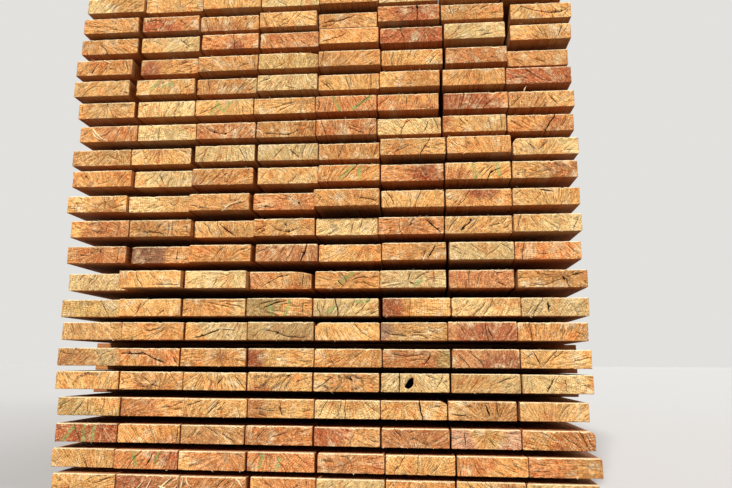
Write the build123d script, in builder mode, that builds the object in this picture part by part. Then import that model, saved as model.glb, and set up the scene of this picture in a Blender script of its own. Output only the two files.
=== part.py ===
from build123d import *
import os
import random

# A stack of rough-sawn boards, laid in layers with sticks between them so that air dries the wood.
# X runs across the stack, Y along the boards and Z up. The front ends face -Y.
# The origin is on the floor, under the middle of the stack. All sizes are in millimetres.

# Boards
BOARD_LENGTH = 3000.0
BOARD_WIDTH = 148.0
BOARD_THICKNESS = 41.0
BOARDS_ACROSS = 8
LAYERS = 21
ARRIS = 1.2  # worn edge along each long corner
WIDTH_SPREAD = 4.0  # sawn widths differ by this much, up or down
THINNING = 0.9  # some boards are sawn thinner, by up to this much
LENGTH_SPREAD = 12.0  # cut lengths differ by this much, up or down
PROUD_SPREAD = 6.0  # front ends stand out or back by this much
JOINT = 2.4  # usual gap between two boards of a layer
JOINT_SPREAD = 1.6  # and how far that gap differs
FULL_EVERY = 3  # every third board of a layer has the full thickness, and carries the sticks

# Sticks, which part the layers
STICK_THICKNESS = 18.0
STICK_WIDTH = 45.0
STICK_ROWS = 5
STICK_INSET = 260.0  # from the boards' ends to the middle of the first and last row
STICK_OVERHANG = 12.0  # past the outermost board of any layer
STICK_ARRIS = 0.8

# How the stack is laid, from the top layer down: how far each layer is shifted to the right,
# and how much thicker than usual the sticks under it are.
SIDE_SHIFTS = (-6, 1, -3, -9, -9, 1, 3, -4, -1, -4, 5, 0, 4, -1, 4, 4, 5, 6, 9, 12, 13)
STICK_EXTRAS = (-2, -6, 1, -1, -2, 3, -2, -1, 4, 4, 2, 4, 4, -5, 0, -6, -1, -1, -4, -6)

# A place in the stack is (layer, board): layer 0 is the top one, and board 0 is the leftmost.

# Joints that stand open: (layer, board to the left): gap
OPEN_JOINTS = {
    (1, 0): 10, (1, 6): 18, (2, 0): 9, (2, 1): 7, (2, 6): 14,
    (3, 0): 20, (3, 5): 7, (4, 0): 17, (4, 5): 7, (5, 0): 8, (5, 5): 12,
    (7, 1): 14, (7, 2): 7, (7, 6): 7, (8, 2): 10, (9, 2): 8,
    (11, 0): 10, (11, 2): 10, (11, 5): 7, (12, 3): 9, (12, 5): 7, (12, 6): 7,
    (13, 0): 7, (13, 4): 9, (17, 6): 7, (19, 3): 6, (20, 2): 7,
}

# Front ends that stand out (+) or back (-) by more than usual: (layer, board): distance
PROUD_ENDS = {
    (1, 4): -16, (1, 7): -10, (2, 7): -14, (3, 7): -30, (5, 6): -8, (5, 7): -10,
    (7, 0): -12, (7, 1): -12, (7, 5): 18, (7, 6): 20, (8, 1): -11, (8, 4): 9,
    (9, 1): -10, (9, 4): 24, (10, 2): -14, (10, 7): 12, (11, 1): -12, (11, 4): -10,
    (12, 0): -24, (12, 1): 30, (12, 2): 14, (12, 3): -10, (13, 0): -20, (14, 6): 12,
}

# Boards from the outside of the log, with a bevel of missing wood that runs out along one top
# corner: (layer, board): (side, across the top, down the side, length until it has run out)
LEFT, RIGHT = -1, 1
WANES = {
    (0, 2): (LEFT, 22.0, 10.0, 3600.0),
    (0, 6): (RIGHT, 18.0, 12.0, 2400.0),
    (3, 3): (RIGHT, 38.0, 7.0, 1500.0),
    (7, 7): (LEFT, 9.0, 12.0, 900.0),
    (12, 3): (RIGHT, 46.0, 6.0, 1900.0),
    (14, 4): (LEFT, 14.0, 8.0, 700.0),
    (17, 5): (RIGHT, 16.0, 8.0, 1200.0),
    (18, 7): (RIGHT, 12.0, 7.0, 2600.0),
}

# Splits that open the front end. Each is a sliver from one point of the end to another, widest
# halfway: (layer, board): (across, up, across, up, width, depth), the points as shares of the end
SPLITS = {
    (1, 4): (0.02, 0.30, 0.62, 0.82, 4.0, 90.0),
    (6, 7): (0.56, 0.03, 0.74, 0.97, 3.2, 90.0),
    (11, 3): (0.72, 0.02, 0.83, 0.97, 3.6, 120.0),
    (13, 3): (0.24, 0.42, 0.62, 0.88, 3.0, 90.0),
    (13, 4): (0.32, 0.98, 0.39, 0.03, 3.0, 110.0),
    (14, 2): (0.12, 0.10, 0.58, 0.62, 3.4, 120.0),
    (17, 5): (0.58, 0.97, 0.64, 0.03, 3.4, 100.0),
    (19, 1): (0.60, 0.90, 0.50, 0.15, 2.8, 70.0),
}

# The hole that a lost knot leaves in one front end
KNOT_HOLE_BOARD = (16, 5)
KNOT_HOLE_PLACE = (0.42, 0.46)  # shares of the end, across and up
KNOT_HOLE_LENGTH = 27.0
KNOT_HOLE_BREADTH = 15.0
KNOT_HOLE_TILT = 58.0  # degrees from level
KNOT_HOLE_DEPTH = 75.0

LEAST_JOINT = 0.6  # boards of one layer never touch
SEED = 7


class Board:
    """One board's place in the stack and its size."""

    def __init__(self, place, left, width, front, length, bottom, thickness):
        self.place = place
        self.left, self.width = left, width
        self.front, self.length = front, length
        self.bottom, self.thickness = bottom, thickness

    @property
    def right(self):
        return self.left + self.width

    @property
    def back(self):
        return self.front + self.length

    @property
    def end_plane(self):
        """The front end, seen from in front, with its lower left corner as the origin."""
        return Plane((self.left, self.front, self.bottom), x_dir=(1, 0, 0), z_dir=(0, -1, 0))


def lay_layer(layer, bottom, chance):
    """The boards of one layer, left to right, that rest at the height bottom."""
    widths = [BOARD_WIDTH + chance.uniform(-WIDTH_SPREAD, WIDTH_SPREAD) for _ in range(BOARDS_ACROSS)]
    joints = []
    for left_board in range(BOARDS_ACROSS):
        usual = max(LEAST_JOINT, JOINT + chance.uniform(-JOINT_SPREAD, JOINT_SPREAD))
        joints.append(OPEN_JOINTS.get((layer, left_board), usual))
    across = sum(widths) + sum(joints[:-1])
    left = SIDE_SHIFTS[layer % len(SIDE_SHIFTS)] - across / 2
    boards = []
    for number, width in enumerate(widths):
        usual = chance.uniform(-PROUD_SPREAD, PROUD_SPREAD)
        front = -BOARD_LENGTH / 2 - PROUD_ENDS.get((layer, number), usual)
        length = BOARD_LENGTH + chance.uniform(-LENGTH_SPREAD, LENGTH_SPREAD)
        thinner = chance.uniform(0, THINNING)
        thickness = BOARD_THICKNESS - (thinner if number % FULL_EVERY else 0)
        boards.append(Board((layer, number), left, width, front, length, bottom, thickness))
        left += width + joints[number]
    return boards


def lay_stack():
    """Every layer's boards, from the floor up, and the (bottom, thickness) of each gap between them."""
    chance = random.Random(SEED)
    layers, gaps = [], []
    height = 0.0
    for layer in reversed(range(LAYERS)):
        layers.append(lay_layer(layer, height, chance))
        height += BOARD_THICKNESS
        if layer > 0:
            thickness = STICK_THICKNESS + STICK_EXTRAS[(layer - 1) % len(STICK_EXTRAS)]
            gaps.append((height, thickness))
            height += thickness
    boards = [board for boards in layers for board in boards]
    middle = (min(board.front for board in boards) + max(board.back for board in boards)) / 2
    for board in boards:
        board.front -= middle
    return layers, gaps


def bevel_plane(board, side, across, down, run):
    """The plane that a board's wane lies on. Its normal points out of the wood."""
    corner = board.right if side == RIGHT else board.left
    top = board.bottom + board.thickness
    on_top = Vector(corner - side * across, board.front, top)
    on_side = Vector(corner, board.front, top - down)
    run_out = Vector(corner, board.front + run, top)
    normal = (on_side - on_top).cross(run_out - on_top)
    return Plane(on_top, z_dir=normal if normal.Z > 0 else -normal)


def make_board(board):
    """One board: its sawn section, drawn out to its length, with its wane, split or knot hole."""
    with BuildPart() as sawn_board:
        with BuildSketch(board.end_plane) as section:
            Rectangle(board.width, board.thickness, align=(Align.MIN, Align.MIN))
            chamfer(section.vertices(), ARRIS)
        extrude(amount=-board.length)
        if board.place in WANES:
            split(bisect_by=bevel_plane(board, *WANES[board.place]), keep=Keep.BOTTOM)
        if board.place in SPLITS:
            start_across, start_up, end_across, end_up, width, depth = SPLITS[board.place]
            start = Vector(start_across * board.width, start_up * board.thickness)
            end = Vector(end_across * board.width, end_up * board.thickness)
            aside = (end - start).normalized().rotate(Axis.Z, 90) * (width / 2)
            halfway = (start + end) / 2
            with BuildSketch(board.end_plane):
                with BuildLine():
                    Polyline(start, halfway + aside, end, halfway - aside, close=True)
                make_face()
            extrude(amount=-depth, mode=Mode.SUBTRACT)
        if board.place == KNOT_HOLE_BOARD:
            across, up = KNOT_HOLE_PLACE
            with BuildSketch(board.end_plane):
                with Locations(Location((across * board.width, up * board.thickness), KNOT_HOLE_TILT)):
                    Ellipse(KNOT_HOLE_LENGTH / 2, KNOT_HOLE_BREADTH / 2)
            extrude(amount=-KNOT_HOLE_DEPTH, mode=Mode.SUBTRACT)
    return sawn_board.part


def make_board_layer(boards):
    """One layer of boards, side by side, as solids that don't touch."""
    with BuildPart() as board_layer:
        for board in boards:
            add(make_board(board))
    return board_layer


def make_stick_row(y, gaps, length):
    """The sticks that stand one above another at one place along the boards, one in each gap."""
    with BuildPart() as stick_row:
        with BuildSketch(Plane.YZ.offset(-length / 2)) as sections:
            for bottom, thickness in gaps:
                with Locations((y, bottom)):
                    Rectangle(STICK_WIDTH, thickness, align=(Align.CENTER, Align.MIN))
            chamfer(sections.vertices(), STICK_ARRIS)
        extrude(amount=length)
    return stick_row


def save(builder, name):
    """Labels a finished piece and writes it to parts/."""
    builder.part.label = name
    export_step(builder.part, os.path.join("parts", name + ".step"))


def main():
    os.makedirs("parts", exist_ok=True)
    layers, gaps = lay_stack()
    for number, boards in enumerate(layers, start=1):
        save(make_board_layer(boards), f"board_layer_{number:02d}")

    reach = max(max(-boards[0].left, boards[-1].right) for boards in layers)
    stick_length = 2 * (reach + STICK_OVERHANG)
    first_row = STICK_INSET - BOARD_LENGTH / 2
    row_spacing = -2 * first_row / (STICK_ROWS - 1)
    for row in range(STICK_ROWS):
        save(make_stick_row(first_row + row * row_spacing, gaps, stick_length), f"stick_row_{row + 1}")


main()
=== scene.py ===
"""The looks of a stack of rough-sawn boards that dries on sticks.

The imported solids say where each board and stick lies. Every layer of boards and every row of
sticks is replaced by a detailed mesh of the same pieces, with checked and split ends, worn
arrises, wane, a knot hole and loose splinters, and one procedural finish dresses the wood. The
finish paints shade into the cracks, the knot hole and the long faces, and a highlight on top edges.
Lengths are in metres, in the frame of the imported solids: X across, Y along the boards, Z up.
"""

from __future__ import annotations

import logging
import math
from dataclasses import dataclass, field
from enum import Enum

import bmesh
import bpy
import numpy as np
from mathutils import Matrix, Vector
from mathutils.geometry import delaunay_2d_cdt


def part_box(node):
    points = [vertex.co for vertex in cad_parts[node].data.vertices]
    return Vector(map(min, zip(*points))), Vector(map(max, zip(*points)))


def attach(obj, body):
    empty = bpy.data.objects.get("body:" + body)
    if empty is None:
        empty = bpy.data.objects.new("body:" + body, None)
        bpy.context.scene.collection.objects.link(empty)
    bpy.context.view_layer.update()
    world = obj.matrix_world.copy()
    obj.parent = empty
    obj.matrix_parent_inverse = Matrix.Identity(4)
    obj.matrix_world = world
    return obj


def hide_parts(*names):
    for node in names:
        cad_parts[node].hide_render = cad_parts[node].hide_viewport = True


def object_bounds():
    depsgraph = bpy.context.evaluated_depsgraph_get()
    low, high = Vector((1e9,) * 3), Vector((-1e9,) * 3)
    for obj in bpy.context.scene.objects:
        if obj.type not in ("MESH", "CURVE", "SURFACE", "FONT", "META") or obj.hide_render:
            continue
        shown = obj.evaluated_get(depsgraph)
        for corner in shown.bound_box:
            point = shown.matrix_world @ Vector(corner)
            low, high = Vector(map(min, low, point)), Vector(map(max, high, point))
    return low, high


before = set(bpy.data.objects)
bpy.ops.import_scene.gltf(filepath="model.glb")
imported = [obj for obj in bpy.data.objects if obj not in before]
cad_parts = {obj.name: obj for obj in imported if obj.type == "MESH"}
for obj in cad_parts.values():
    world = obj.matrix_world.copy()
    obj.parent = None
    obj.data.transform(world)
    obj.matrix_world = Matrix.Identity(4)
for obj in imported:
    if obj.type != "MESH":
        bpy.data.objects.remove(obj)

CAD_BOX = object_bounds()
MM = 0.001
SEED = 20

Point = np.ndarray
Place = tuple[int, int]
Span = tuple[float, float]
Triple = tuple[float, float, float]
Cell = tuple[float, float, float, float]
Colour = tuple[int, int, int]
Socket = bpy.types.NodeSocket

log = logging.getLogger("stack")


class Tone(Enum):
    """The colours that the cut ends of dried softwood take, as 8-bit sRGB."""

    STRAW = (255, 221, 147)
    HONEY = (252, 196, 114)
    AMBER = (242, 176, 96)
    RUSSET = (232, 156, 86)
    BRICK = (206, 118, 64)
    BROWN = (180, 120, 76)
    OLIVE = (222, 184, 110)
    MAUVE = (226, 170, 130)

    @property
    def linear(self) -> tuple[float, float, float, float]:
        """The colour in linear light, with full alpha."""
        return linear(*self.value)


STRAW, HONEY, AMBER, RUSSET, BRICK, BROWN, OLIVE, MAUVE = Tone


class Rim(Enum):
    """The long edges of an end that a crack may open through."""

    BOTTOM = 0
    TOP = 1


class Check(Enum):
    """The two ways that a drying check runs across an end."""

    ACROSS_RINGS = "radial"
    ALONG_RINGS = "ring"


def linear(red: float, green: float, blue: float) -> tuple[float, float, float, float]:
    """Turns an 8-bit sRGB colour into linear light.

    Args:
        red: The red channel, from 0 to 255.
        green: The green channel, from 0 to 255.
        blue: The blue channel, from 0 to 255.

    Returns:
        The colour in linear light, with an alpha of 1.
    """
    channels = [channel / 255 for channel in (red, green, blue)]
    return (*[c / 12.92 if c <= 0.04045 else ((c + 0.055) / 1.055) ** 2.4 for c in channels], 1.0)


@dataclass(frozen=True)
class Split:
    """A crack that is listed, through points given as shares of the end's width and height."""

    through: tuple[Span, ...]
    width: float = 0.0016
    depth: float = 0.03


@dataclass(frozen=True)
class Wane:
    """The missing wood along one top corner: how far across and down, and where it runs out."""

    side: int
    across: float
    down: float
    run: float


@dataclass(frozen=True)
class Stroke:
    """A crayon line on an end, through points given as shares of its width and height."""

    through: tuple[Span, ...]
    green: bool = True
    width: float = 0.0085


@dataclass(frozen=True)
class Sliver:
    """A pale sliver of wood that hangs on an end, between two points given as shares of the end."""

    start: Span
    end: Span
    width: float = 0.0024


@dataclass(frozen=True)
class Look:
    """What sets one board apart from the seeded rule."""

    sap: Tone | None = None
    heart: Tone | None = None
    heart_radius: float | None = None
    pith: Span | None = None
    splits: tuple[Split, ...] = ()
    strokes: tuple[Stroke, ...] = ()
    slivers: tuple[Sliver, ...] = ()
    wane: Wane | None = None
    knot_hole: bool = False
    stain: float = 0.0
    checks: int | None = None


LEFT, RIGHT = -1, 1

# Places are (layer, board): layer 0 is the top one, and board 0 the leftmost seen from the front.
LOOKS: dict[Place, Look] = {
    (0, 2): Look(wane=Wane(LEFT, 0.022, 0.01, 3.6)),
    (0, 6): Look(wane=Wane(RIGHT, 0.018, 0.012, 2.4)),
    (1, 1): Look(splits=(Split(((0.58, 0.95), (0.8, 0.35))), Split(((0.3, 0.1), (0.42, 0.8))))),
    (1, 4): Look(splits=(Split(((0.02, 0.3), (0.2, 0.5), (0.34, 0.5), (0.62, 0.82)), 0.004, 0.09),
                         Split(((0.04, 0.12), (0.2, 0.2), (0.36, 0.62)), 0.002)), sap=HONEY),
    (1, 7): Look(splits=(Split(((0.15, 0.9), (0.4, 0.55), (0.65, 0.35), (0.85, 0.4), (0.97, 0.72)),
                               0.0026),), sap=HONEY),
    (2, 1): Look(splits=(Split(((0.62, 0.95), (0.84, 0.3)), 0.002),), sap=STRAW),
    (2, 3): Look(sap=RUSSET, heart=AMBER),
    (2, 4): Look(splits=(Split(((0.03, 0.15), (0.25, 0.35), (0.45, 0.6)), 0.0024),)),
    (3, 0): Look(splits=(Split(((0.26, 0.05), (0.4, 0.9)), 0.0024),),
                 slivers=(Sliver((0.48, 1.0), (0.64, 0.72)),)),
    (3, 3): Look(wane=Wane(RIGHT, 0.038, 0.007, 1.5), sap=OLIVE, heart=HONEY),
    (4, 0): Look(sap=HONEY),
    (4, 1): Look(sap=STRAW, strokes=(Stroke(((0.26, 0.4), (0.38, 0.8))),
                                     Stroke(((0.46, 0.5), (0.62, 0.74))))),
    (4, 2): Look(sap=STRAW),
    (4, 3): Look(splits=(Split(((0.01, 0.55), (0.3, 0.9))),), sap=STRAW),
    (4, 4): Look(splits=(Split(((0.02, 0.7), (0.22, 0.06)), 0.0022),), sap=HONEY),
    (4, 5): Look(sap=HONEY, heart=AMBER),
    (5, 0): Look(sap=AMBER, heart=HONEY),
    (5, 2): Look(strokes=(Stroke(((0.27, 0.1), (0.38, 0.8), (0.5, 0.2), (0.6, 0.8))),), sap=HONEY),
    (5, 4): Look(sap=RUSSET, strokes=(Stroke(((0.3, 0.9), (0.4, 0.1))),
                                      Stroke(((0.6, 0.15), (0.92, 0.9))))),
    (5, 5): Look(splits=(Split(((0.48, 0.9), (0.48, 0.1))),), sap=RUSSET, heart=AMBER),
    (5, 7): Look(splits=(Split(((0.03, 0.1), (0.22, 0.85))), Split(((0.57, 0.95), (0.76, 0.1)), 0.002)),
                 slivers=(Sliver((0.24, 1.0), (0.28, 1.3), 0.003),)),
    (6, 0): Look(slivers=(Sliver((0.2, 0.95), (0.5, 0.02), 0.004), Sliver((0.28, 0.2), (0.5, 0.6), 0.003),
                          Sliver((0.22, 0.6), (0.42, 0.1), 0.003)), sap=AMBER, heart=RUSSET),
    (6, 2): Look(splits=(Split(((0.1, 0.9), (0.3, 0.4), (0.5, 0.3), (0.7, 0.7))),
                         Split(((0.47, 1.0), (0.47, 0.32)), 0.0012))),
    (6, 3): Look(splits=(Split(((0.1, 0.3), (0.55, 0.15), (0.75, 0.5)), 0.002),),
                 slivers=(Sliver((0.0, 0.5), (0.12, 0.0), 0.004),), sap=AMBER),
    (6, 5): Look(splits=(Split(((0.82, 0.95), (0.73, 0.1)), 0.002),)),
    (6, 6): Look(splits=(Split(((0.23, 0.95), (0.37, 0.45)), 0.0022),), sap=RUSSET, heart=HONEY),
    (6, 7): Look(splits=(Split(((0.56, 0.0), (0.62, 0.4), (0.74, 1.0)), 0.0032, 0.09),)),
    (7, 2): Look(sap=STRAW),
    (7, 3): Look(splits=(Split(((0.25, 0.05), (0.45, 0.9))), Split(((0.47, 0.85), (0.72, 0.1)))),
                 sap=STRAW),
    (7, 4): Look(splits=(Split(((0.4, 0.9), (0.33, 0.1))),), sap=HONEY),
    (7, 5): Look(splits=(Split(((0.6, 0.0), (0.77, 1.0)), 0.0022), Split(((0.18, 0.1), (0.45, 0.6))))),
    (7, 7): Look(wane=Wane(LEFT, 0.009, 0.012, 0.9),
                 splits=(Split(((0.18, 0.9), (0.36, 0.24))), Split(((0.38, 0.26), (0.58, 0.95)))),
                 sap=STRAW),
    (8, 0): Look(splits=(Split(((0.18, 0.96), (0.35, 0.1))),)),
    (8, 1): Look(splits=(Split(((0.4, 0.96), (0.53, 0.1))),)),
    (8, 2): Look(splits=(Split(((0.68, 0.95), (0.57, 0.1))),), sap=AMBER, heart=RUSSET),
    (8, 4): Look(sap=AMBER, heart=RUSSET, strokes=(Stroke(((0.38, 0.2), (0.55, 1.0))),
                                                   Stroke(((0.69, 0.9), (0.66, 0.1))))),
    (8, 5): Look(sap=RUSSET, heart=BRICK),
    (8, 6): Look(splits=(Split(((0.64, 0.0), (0.7, 0.45), (0.86, 0.65)), 0.003),), heart=RUSSET,
                 strokes=(Stroke(((0.44, 1.0), (0.46, 0.05))), Stroke(((0.79, 0.9), (0.83, 0.2))))),
    (8, 7): Look(sap=HONEY, heart=RUSSET, heart_radius=0.07, pith=(1.0, 0.4)),
    (9, 0): Look(sap=HONEY),
    (9, 2): Look(slivers=(Sliver((0.56, -0.02), (0.95, 0.55), 0.0032),), sap=HONEY, heart=AMBER),
    (9, 3): Look(splits=(Split(((0.06, 0.1), (0.2, 0.24), (0.34, 0.14))),), pith=(0.75, 0.4)),
    (9, 4): Look(sap=HONEY, heart=AMBER),
    (9, 7): Look(splits=(Split(((0.34, 0.97), (0.48, 0.88), (0.63, 0.78)), 0.0032),), sap=HONEY,
                 heart=RUSSET),
    (10, 0): Look(strokes=(Stroke(((0.3, 0.75), (0.45, 0.9), (0.55, 0.5), (0.45, 0.3)), False, 0.005),
                           Stroke(((0.8, 0.1), (0.84, 0.85)), False, 0.005)), sap=HONEY),
    (10, 1): Look(strokes=(Stroke(((0.16, 0.45), (0.3, 0.25), (0.44, 0.35), (0.52, 0.8)), False, 0.005),
                           Stroke(((0.7, 0.85), (0.7, 0.2)), False, 0.005)), sap=HONEY),
    (10, 2): Look(splits=(Split(((0.39, 0.97), (0.52, 0.5), (0.72, 0.02)), 0.003),), sap=HONEY),
    (10, 3): Look(sap=AMBER, heart=HONEY, heart_radius=0.035, pith=(0.55, 0.95),
                  splits=(Split(((0.27, 0.7), (0.38, 0.36), (0.58, 0.2), (0.8, 0.5))),
                          Split(((0.47, 0.96), (0.55, 0.5))))),
    (10, 4): Look(splits=(Split(((0.61, 0.98), (0.57, 0.1)), 0.002), Split(((0.76, 0.9), (0.7, 0.3)))),
                  sap=STRAW),
    (10, 5): Look(splits=(Split(((0.68, 0.97), (0.96, 0.08)), 0.003),), sap=HONEY),
    (10, 6): Look(splits=(Split(((0.42, 0.97), (0.36, 0.6), (0.26, 0.35), (0.23, 0.02)), 0.003),),
                  sap=HONEY),
    (11, 1): Look(sap=AMBER, heart=BROWN, heart_radius=0.09, pith=(0.0, 0.5), stain=0.4,
                  splits=(Split(((0.79, 0.95), (0.76, 0.05))),)),
    (11, 2): Look(sap=AMBER, slivers=(Sliver((0.56, 0.75), (0.48, 0.1), 0.0016),)),
    (11, 3): Look(splits=(Split(((0.72, 0.0), (0.79, 0.5), (0.83, 1.0)), 0.0036, 0.12),), sap=RUSSET,
                  stain=0.3),
    (11, 4): Look(sap=HONEY, pith=(0.75, 1.2)),
    (11, 5): Look(splits=(Split(((0.86, 0.95), (0.71, 0.1)), 0.003),), sap=RUSSET, heart=AMBER),
    (11, 7): Look(sap=AMBER, heart=RUSSET, pith=(0.3, 2.5), checks=10),
    (12, 1): Look(splits=(Split(((0.55, 0.2), (0.97, 0.15))),), sap=HONEY, heart=AMBER),
    (12, 2): Look(splits=(Split(((0.54, 0.6), (0.46, 0.02)), 0.0022),)),
    (12, 3): Look(wane=Wane(RIGHT, 0.046, 0.006, 1.9),
                  splits=(Split(((0.66, 0.86), (0.45, 0.66), (0.2, 0.15)), 0.002),), sap=RUSSET,
                  heart=AMBER),
    (12, 4): Look(splits=(Split(((0.35, 0.5), (0.47, 0.05)), 0.0024),),
                  strokes=(Stroke(((0.38, 0.35), (0.58, 0.9))),), sap=HONEY),
    (12, 5): Look(splits=(Split(((0.42, 0.4), (0.47, 0.95)), 0.0022),
                          Split(((0.44, 0.36), (0.53, 0.2)), 0.0022)),
                  strokes=(Stroke(((0.54, 0.2), (0.64, 0.5))),), pith=(0.42, 0.4), sap=STRAW),
    (12, 6): Look(splits=(Split(((0.74, 0.35), (0.88, 0.06)), 0.002),), sap=RUSSET, heart=AMBER,
                  slivers=(Sliver((0.66, 1.02), (0.9, 1.06), 0.0022),)),
    (12, 7): Look(pith=(0.66, 0.55), sap=HONEY, splits=(Split(((0.7, 0.6), (0.96, 0.88)), 0.002),)),
    (13, 0): Look(sap=OLIVE),
    (13, 1): Look(splits=(Split(((0.38, 0.95), (0.28, 0.08)), 0.0026),), sap=HONEY),
    (13, 2): Look(pith=(0.25, 0.9), checks=11),
    (13, 3): Look(splits=(Split(((0.24, 0.42), (0.45, 0.75), (0.62, 0.88)), 0.003, 0.09),
                          Split(((0.86, 0.9), (0.86, 0.1)))),
                  strokes=(Stroke(((0.36, 0.6), (0.4, 0.1))), Stroke(((0.66, 0.85), (0.6, 0.1)))),
                  sap=AMBER, heart=OLIVE, pith=(0.0, 0.5), heart_radius=0.085),
    (13, 4): Look(splits=(Split(((0.32, 1.0), (0.37, 0.5), (0.39, 0.0)), 0.003, 0.11),), sap=STRAW,
                  heart=STRAW, heart_radius=0.07,
                  strokes=(Stroke(((0.24, 0.2), (0.32, 0.5))), Stroke(((0.66, 0.8), (0.86, 0.9))))),
    (13, 5): Look(sap=HONEY, heart=BRICK, heart_radius=0.045, pith=(0.0, 0.5)),
    (13, 7): Look(splits=(Split(((0.39, 0.97), (0.41, 0.2)), 0.0024),), sap=STRAW),
    (14, 2): Look(splits=(Split(((0.12, 0.1), (0.33, 0.3), (0.58, 0.62)), 0.0034, 0.12),), sap=HONEY,
                  slivers=(Sliver((0.52, 0.66), (0.86, 0.6), 0.0022),)),
    (14, 3): Look(sap=OLIVE, heart=OLIVE, stain=0.35,
                  splits=(Split(((0.2, 0.6), (0.45, 0.45), (0.6, 0.2), (0.9, 0.15)), 0.002),)),
    (14, 4): Look(wane=Wane(LEFT, 0.014, 0.008, 0.7), splits=(Split(((0.18, 0.8), (0.2, 0.1))),),
                  sap=HONEY),
    (14, 5): Look(sap=HONEY, heart=MAUVE, stain=0.12, pith=(0.0, 0.5), heart_radius=0.032),
    (14, 6): Look(splits=(Split(((0.57, 0.8), (0.65, 0.06)), 0.002),), pith=(0.6, -1.2), checks=9),
    (15, 1): Look(splits=(Split(((0.03, 0.7), (0.45, 0.7), (0.62, 0.4), (0.8, 0.15)), 0.0026),)),
    (15, 2): Look(sap=AMBER, heart=BROWN, heart_radius=0.014, pith=(0.62, 0.55)),
    (15, 3): Look(sap=HONEY, heart=BRICK, heart_radius=0.04, pith=(0.0, 0.4)),
    (15, 5): Look(splits=(Split(((0.72, 0.95), (0.69, 0.5), (0.58, 0.05)), 0.0024),), sap=RUSSET,
                  heart=OLIVE, pith=(1.1, 0.5), heart_radius=0.05),
    (15, 6): Look(sap=RUSSET, heart=BRICK),
    (15, 7): Look(splits=(Split(((0.18, 0.95), (0.29, 0.05)), 0.0022), Split(((0.01, 0.4), (0.18, 0.8)))),
                  sap=HONEY),
    (16, 0): Look(strokes=(Stroke(((0.28, 0.25), (0.36, 0.65), (0.5, 0.88), (0.66, 0.8)), False, 0.006),)),
    (16, 1): Look(sap=HONEY, heart=AMBER, strokes=(Stroke(((0.22, 0.9), (0.27, 0.5), (0.38, 0.22),
                                                           (0.5, 0.2), (0.58, 0.5)), False, 0.006),)),
    (16, 2): Look(splits=(Split(((0.35, 0.85), (0.5, 0.38))), Split(((0.68, 0.96), (0.54, 0.3)), 0.0026)),
                  sap=HONEY),
    (16, 3): Look(sap=HONEY, strokes=(Stroke(((0.1, 0.72), (0.22, 0.82), (0.36, 0.76), (0.28, 0.4),
                                              (0.2, 0.22)), False, 0.006),
                                      Stroke(((0.44, 0.74), (0.56, 0.84), (0.7, 0.74), (0.58, 0.2)), False,
                                             0.006))),
    (16, 4): Look(sap=HONEY, checks=3, splits=(Split(((0.03, 0.1), (0.33, 0.93)), 0.002),),
                  strokes=(Stroke(((0.16, 0.3), (0.26, 0.16), (0.38, 0.24), (0.42, 0.55), (0.39, 0.86)),
                                  False, 0.0065),
                           Stroke(((0.48, 0.74), (0.58, 0.88), (0.74, 0.72), (0.76, 0.36), (0.6, 0.14)),
                                  False, 0.0065))),
    (16, 5): Look(knot_hole=True, sap=HONEY, pith=(0.4, 1.6), checks=2,
                  splits=(Split(((0.27, 1.0), (0.275, 0.55), (0.265, 0.0)), 0.0026, 0.05),)),
    (16, 6): Look(sap=STRAW, heart=HONEY),
    (16, 7): Look(splits=(Split(((0.47, 0.92), (0.34, 0.06)), 0.0024), Split(((0.6, 0.8), (0.62, 0.1)))),
                  sap=AMBER, heart=STRAW),
    (17, 0): Look(splits=(Split(((0.48, 0.95), (0.5, 0.05))),), sap=OLIVE, heart=HONEY),
    (17, 1): Look(sap=AMBER, heart=RUSSET),
    (17, 2): Look(splits=(Split(((0.35, 0.05), (0.58, 0.9)), 0.0022),
                          Split(((0.03, 0.6), (0.3, 0.9)), 0.002)), sap=HONEY),
    (17, 3): Look(splits=(Split(((0.5, 0.95), (0.49, 0.5), (0.54, 0.08)), 0.0026),), sap=HONEY,
                  heart=RUSSET, pith=(-0.1, 0.4), heart_radius=0.05),
    (17, 4): Look(sap=STRAW, heart=HONEY, pith=(0.5, 2.4), checks=11),
    (17, 5): Look(splits=(Split(((0.58, 1.0), (0.6, 0.5), (0.64, 0.0)), 0.0034, 0.1),),
                  wane=Wane(RIGHT, 0.016, 0.008, 1.2), sap=AMBER, pith=(0.32, 1.1)),
    (17, 6): Look(splits=(Split(((0.52, 0.97), (0.6, 0.4), (0.59, 0.02)), 0.003),), sap=HONEY),
    (17, 7): Look(sap=HONEY, heart=HONEY, checks=3),
    (18, 0): Look(strokes=(Stroke(((0.14, 0.1), (0.3, 0.85))), Stroke(((0.46, 0.9), (0.47, 0.1))),
                           Stroke(((0.63, 0.9), (0.61, 0.1)))), sap=RUSSET),
    (18, 2): Look(sap=AMBER, heart=HONEY),
    (18, 5): Look(sap=MAUVE, stain=0.2),
    (18, 6): Look(splits=(Split(((0.19, 0.97), (0.2, 0.1)), 0.002),
                          Split(((0.54, 0.5), (0.66, 0.05)), 0.002)), sap=MAUVE, heart=HONEY,
                  pith=(0.5, 0.8), heart_radius=0.04),
    (18, 7): Look(wane=Wane(RIGHT, 0.012, 0.007, 2.6), sap=AMBER),
    (19, 1): Look(splits=(Split(((0.6, 0.9), (0.56, 0.5), (0.5, 0.15)), 0.0028, 0.07),), sap=RUSSET,
                  strokes=(Stroke(((0.28, 0.9), (0.36, 0.2))), Stroke(((0.7, 0.85), (0.65, 0.3))))),
    (19, 3): Look(strokes=(Stroke(((0.22, 0.8), (0.18, 0.2))), Stroke(((0.48, 0.7), (0.44, 0.1)))),
                  sap=RUSSET),
    (19, 4): Look(sap=BRICK, heart=RUSSET, heart_radius=0.2),
    (19, 5): Look(sap=AMBER),
    (19, 6): Look(sap=AMBER, heart=RUSSET),
    (19, 7): Look(sap=RUSSET, heart=AMBER, pith=(1.0, 0.5), heart_radius=0.06),
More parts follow.
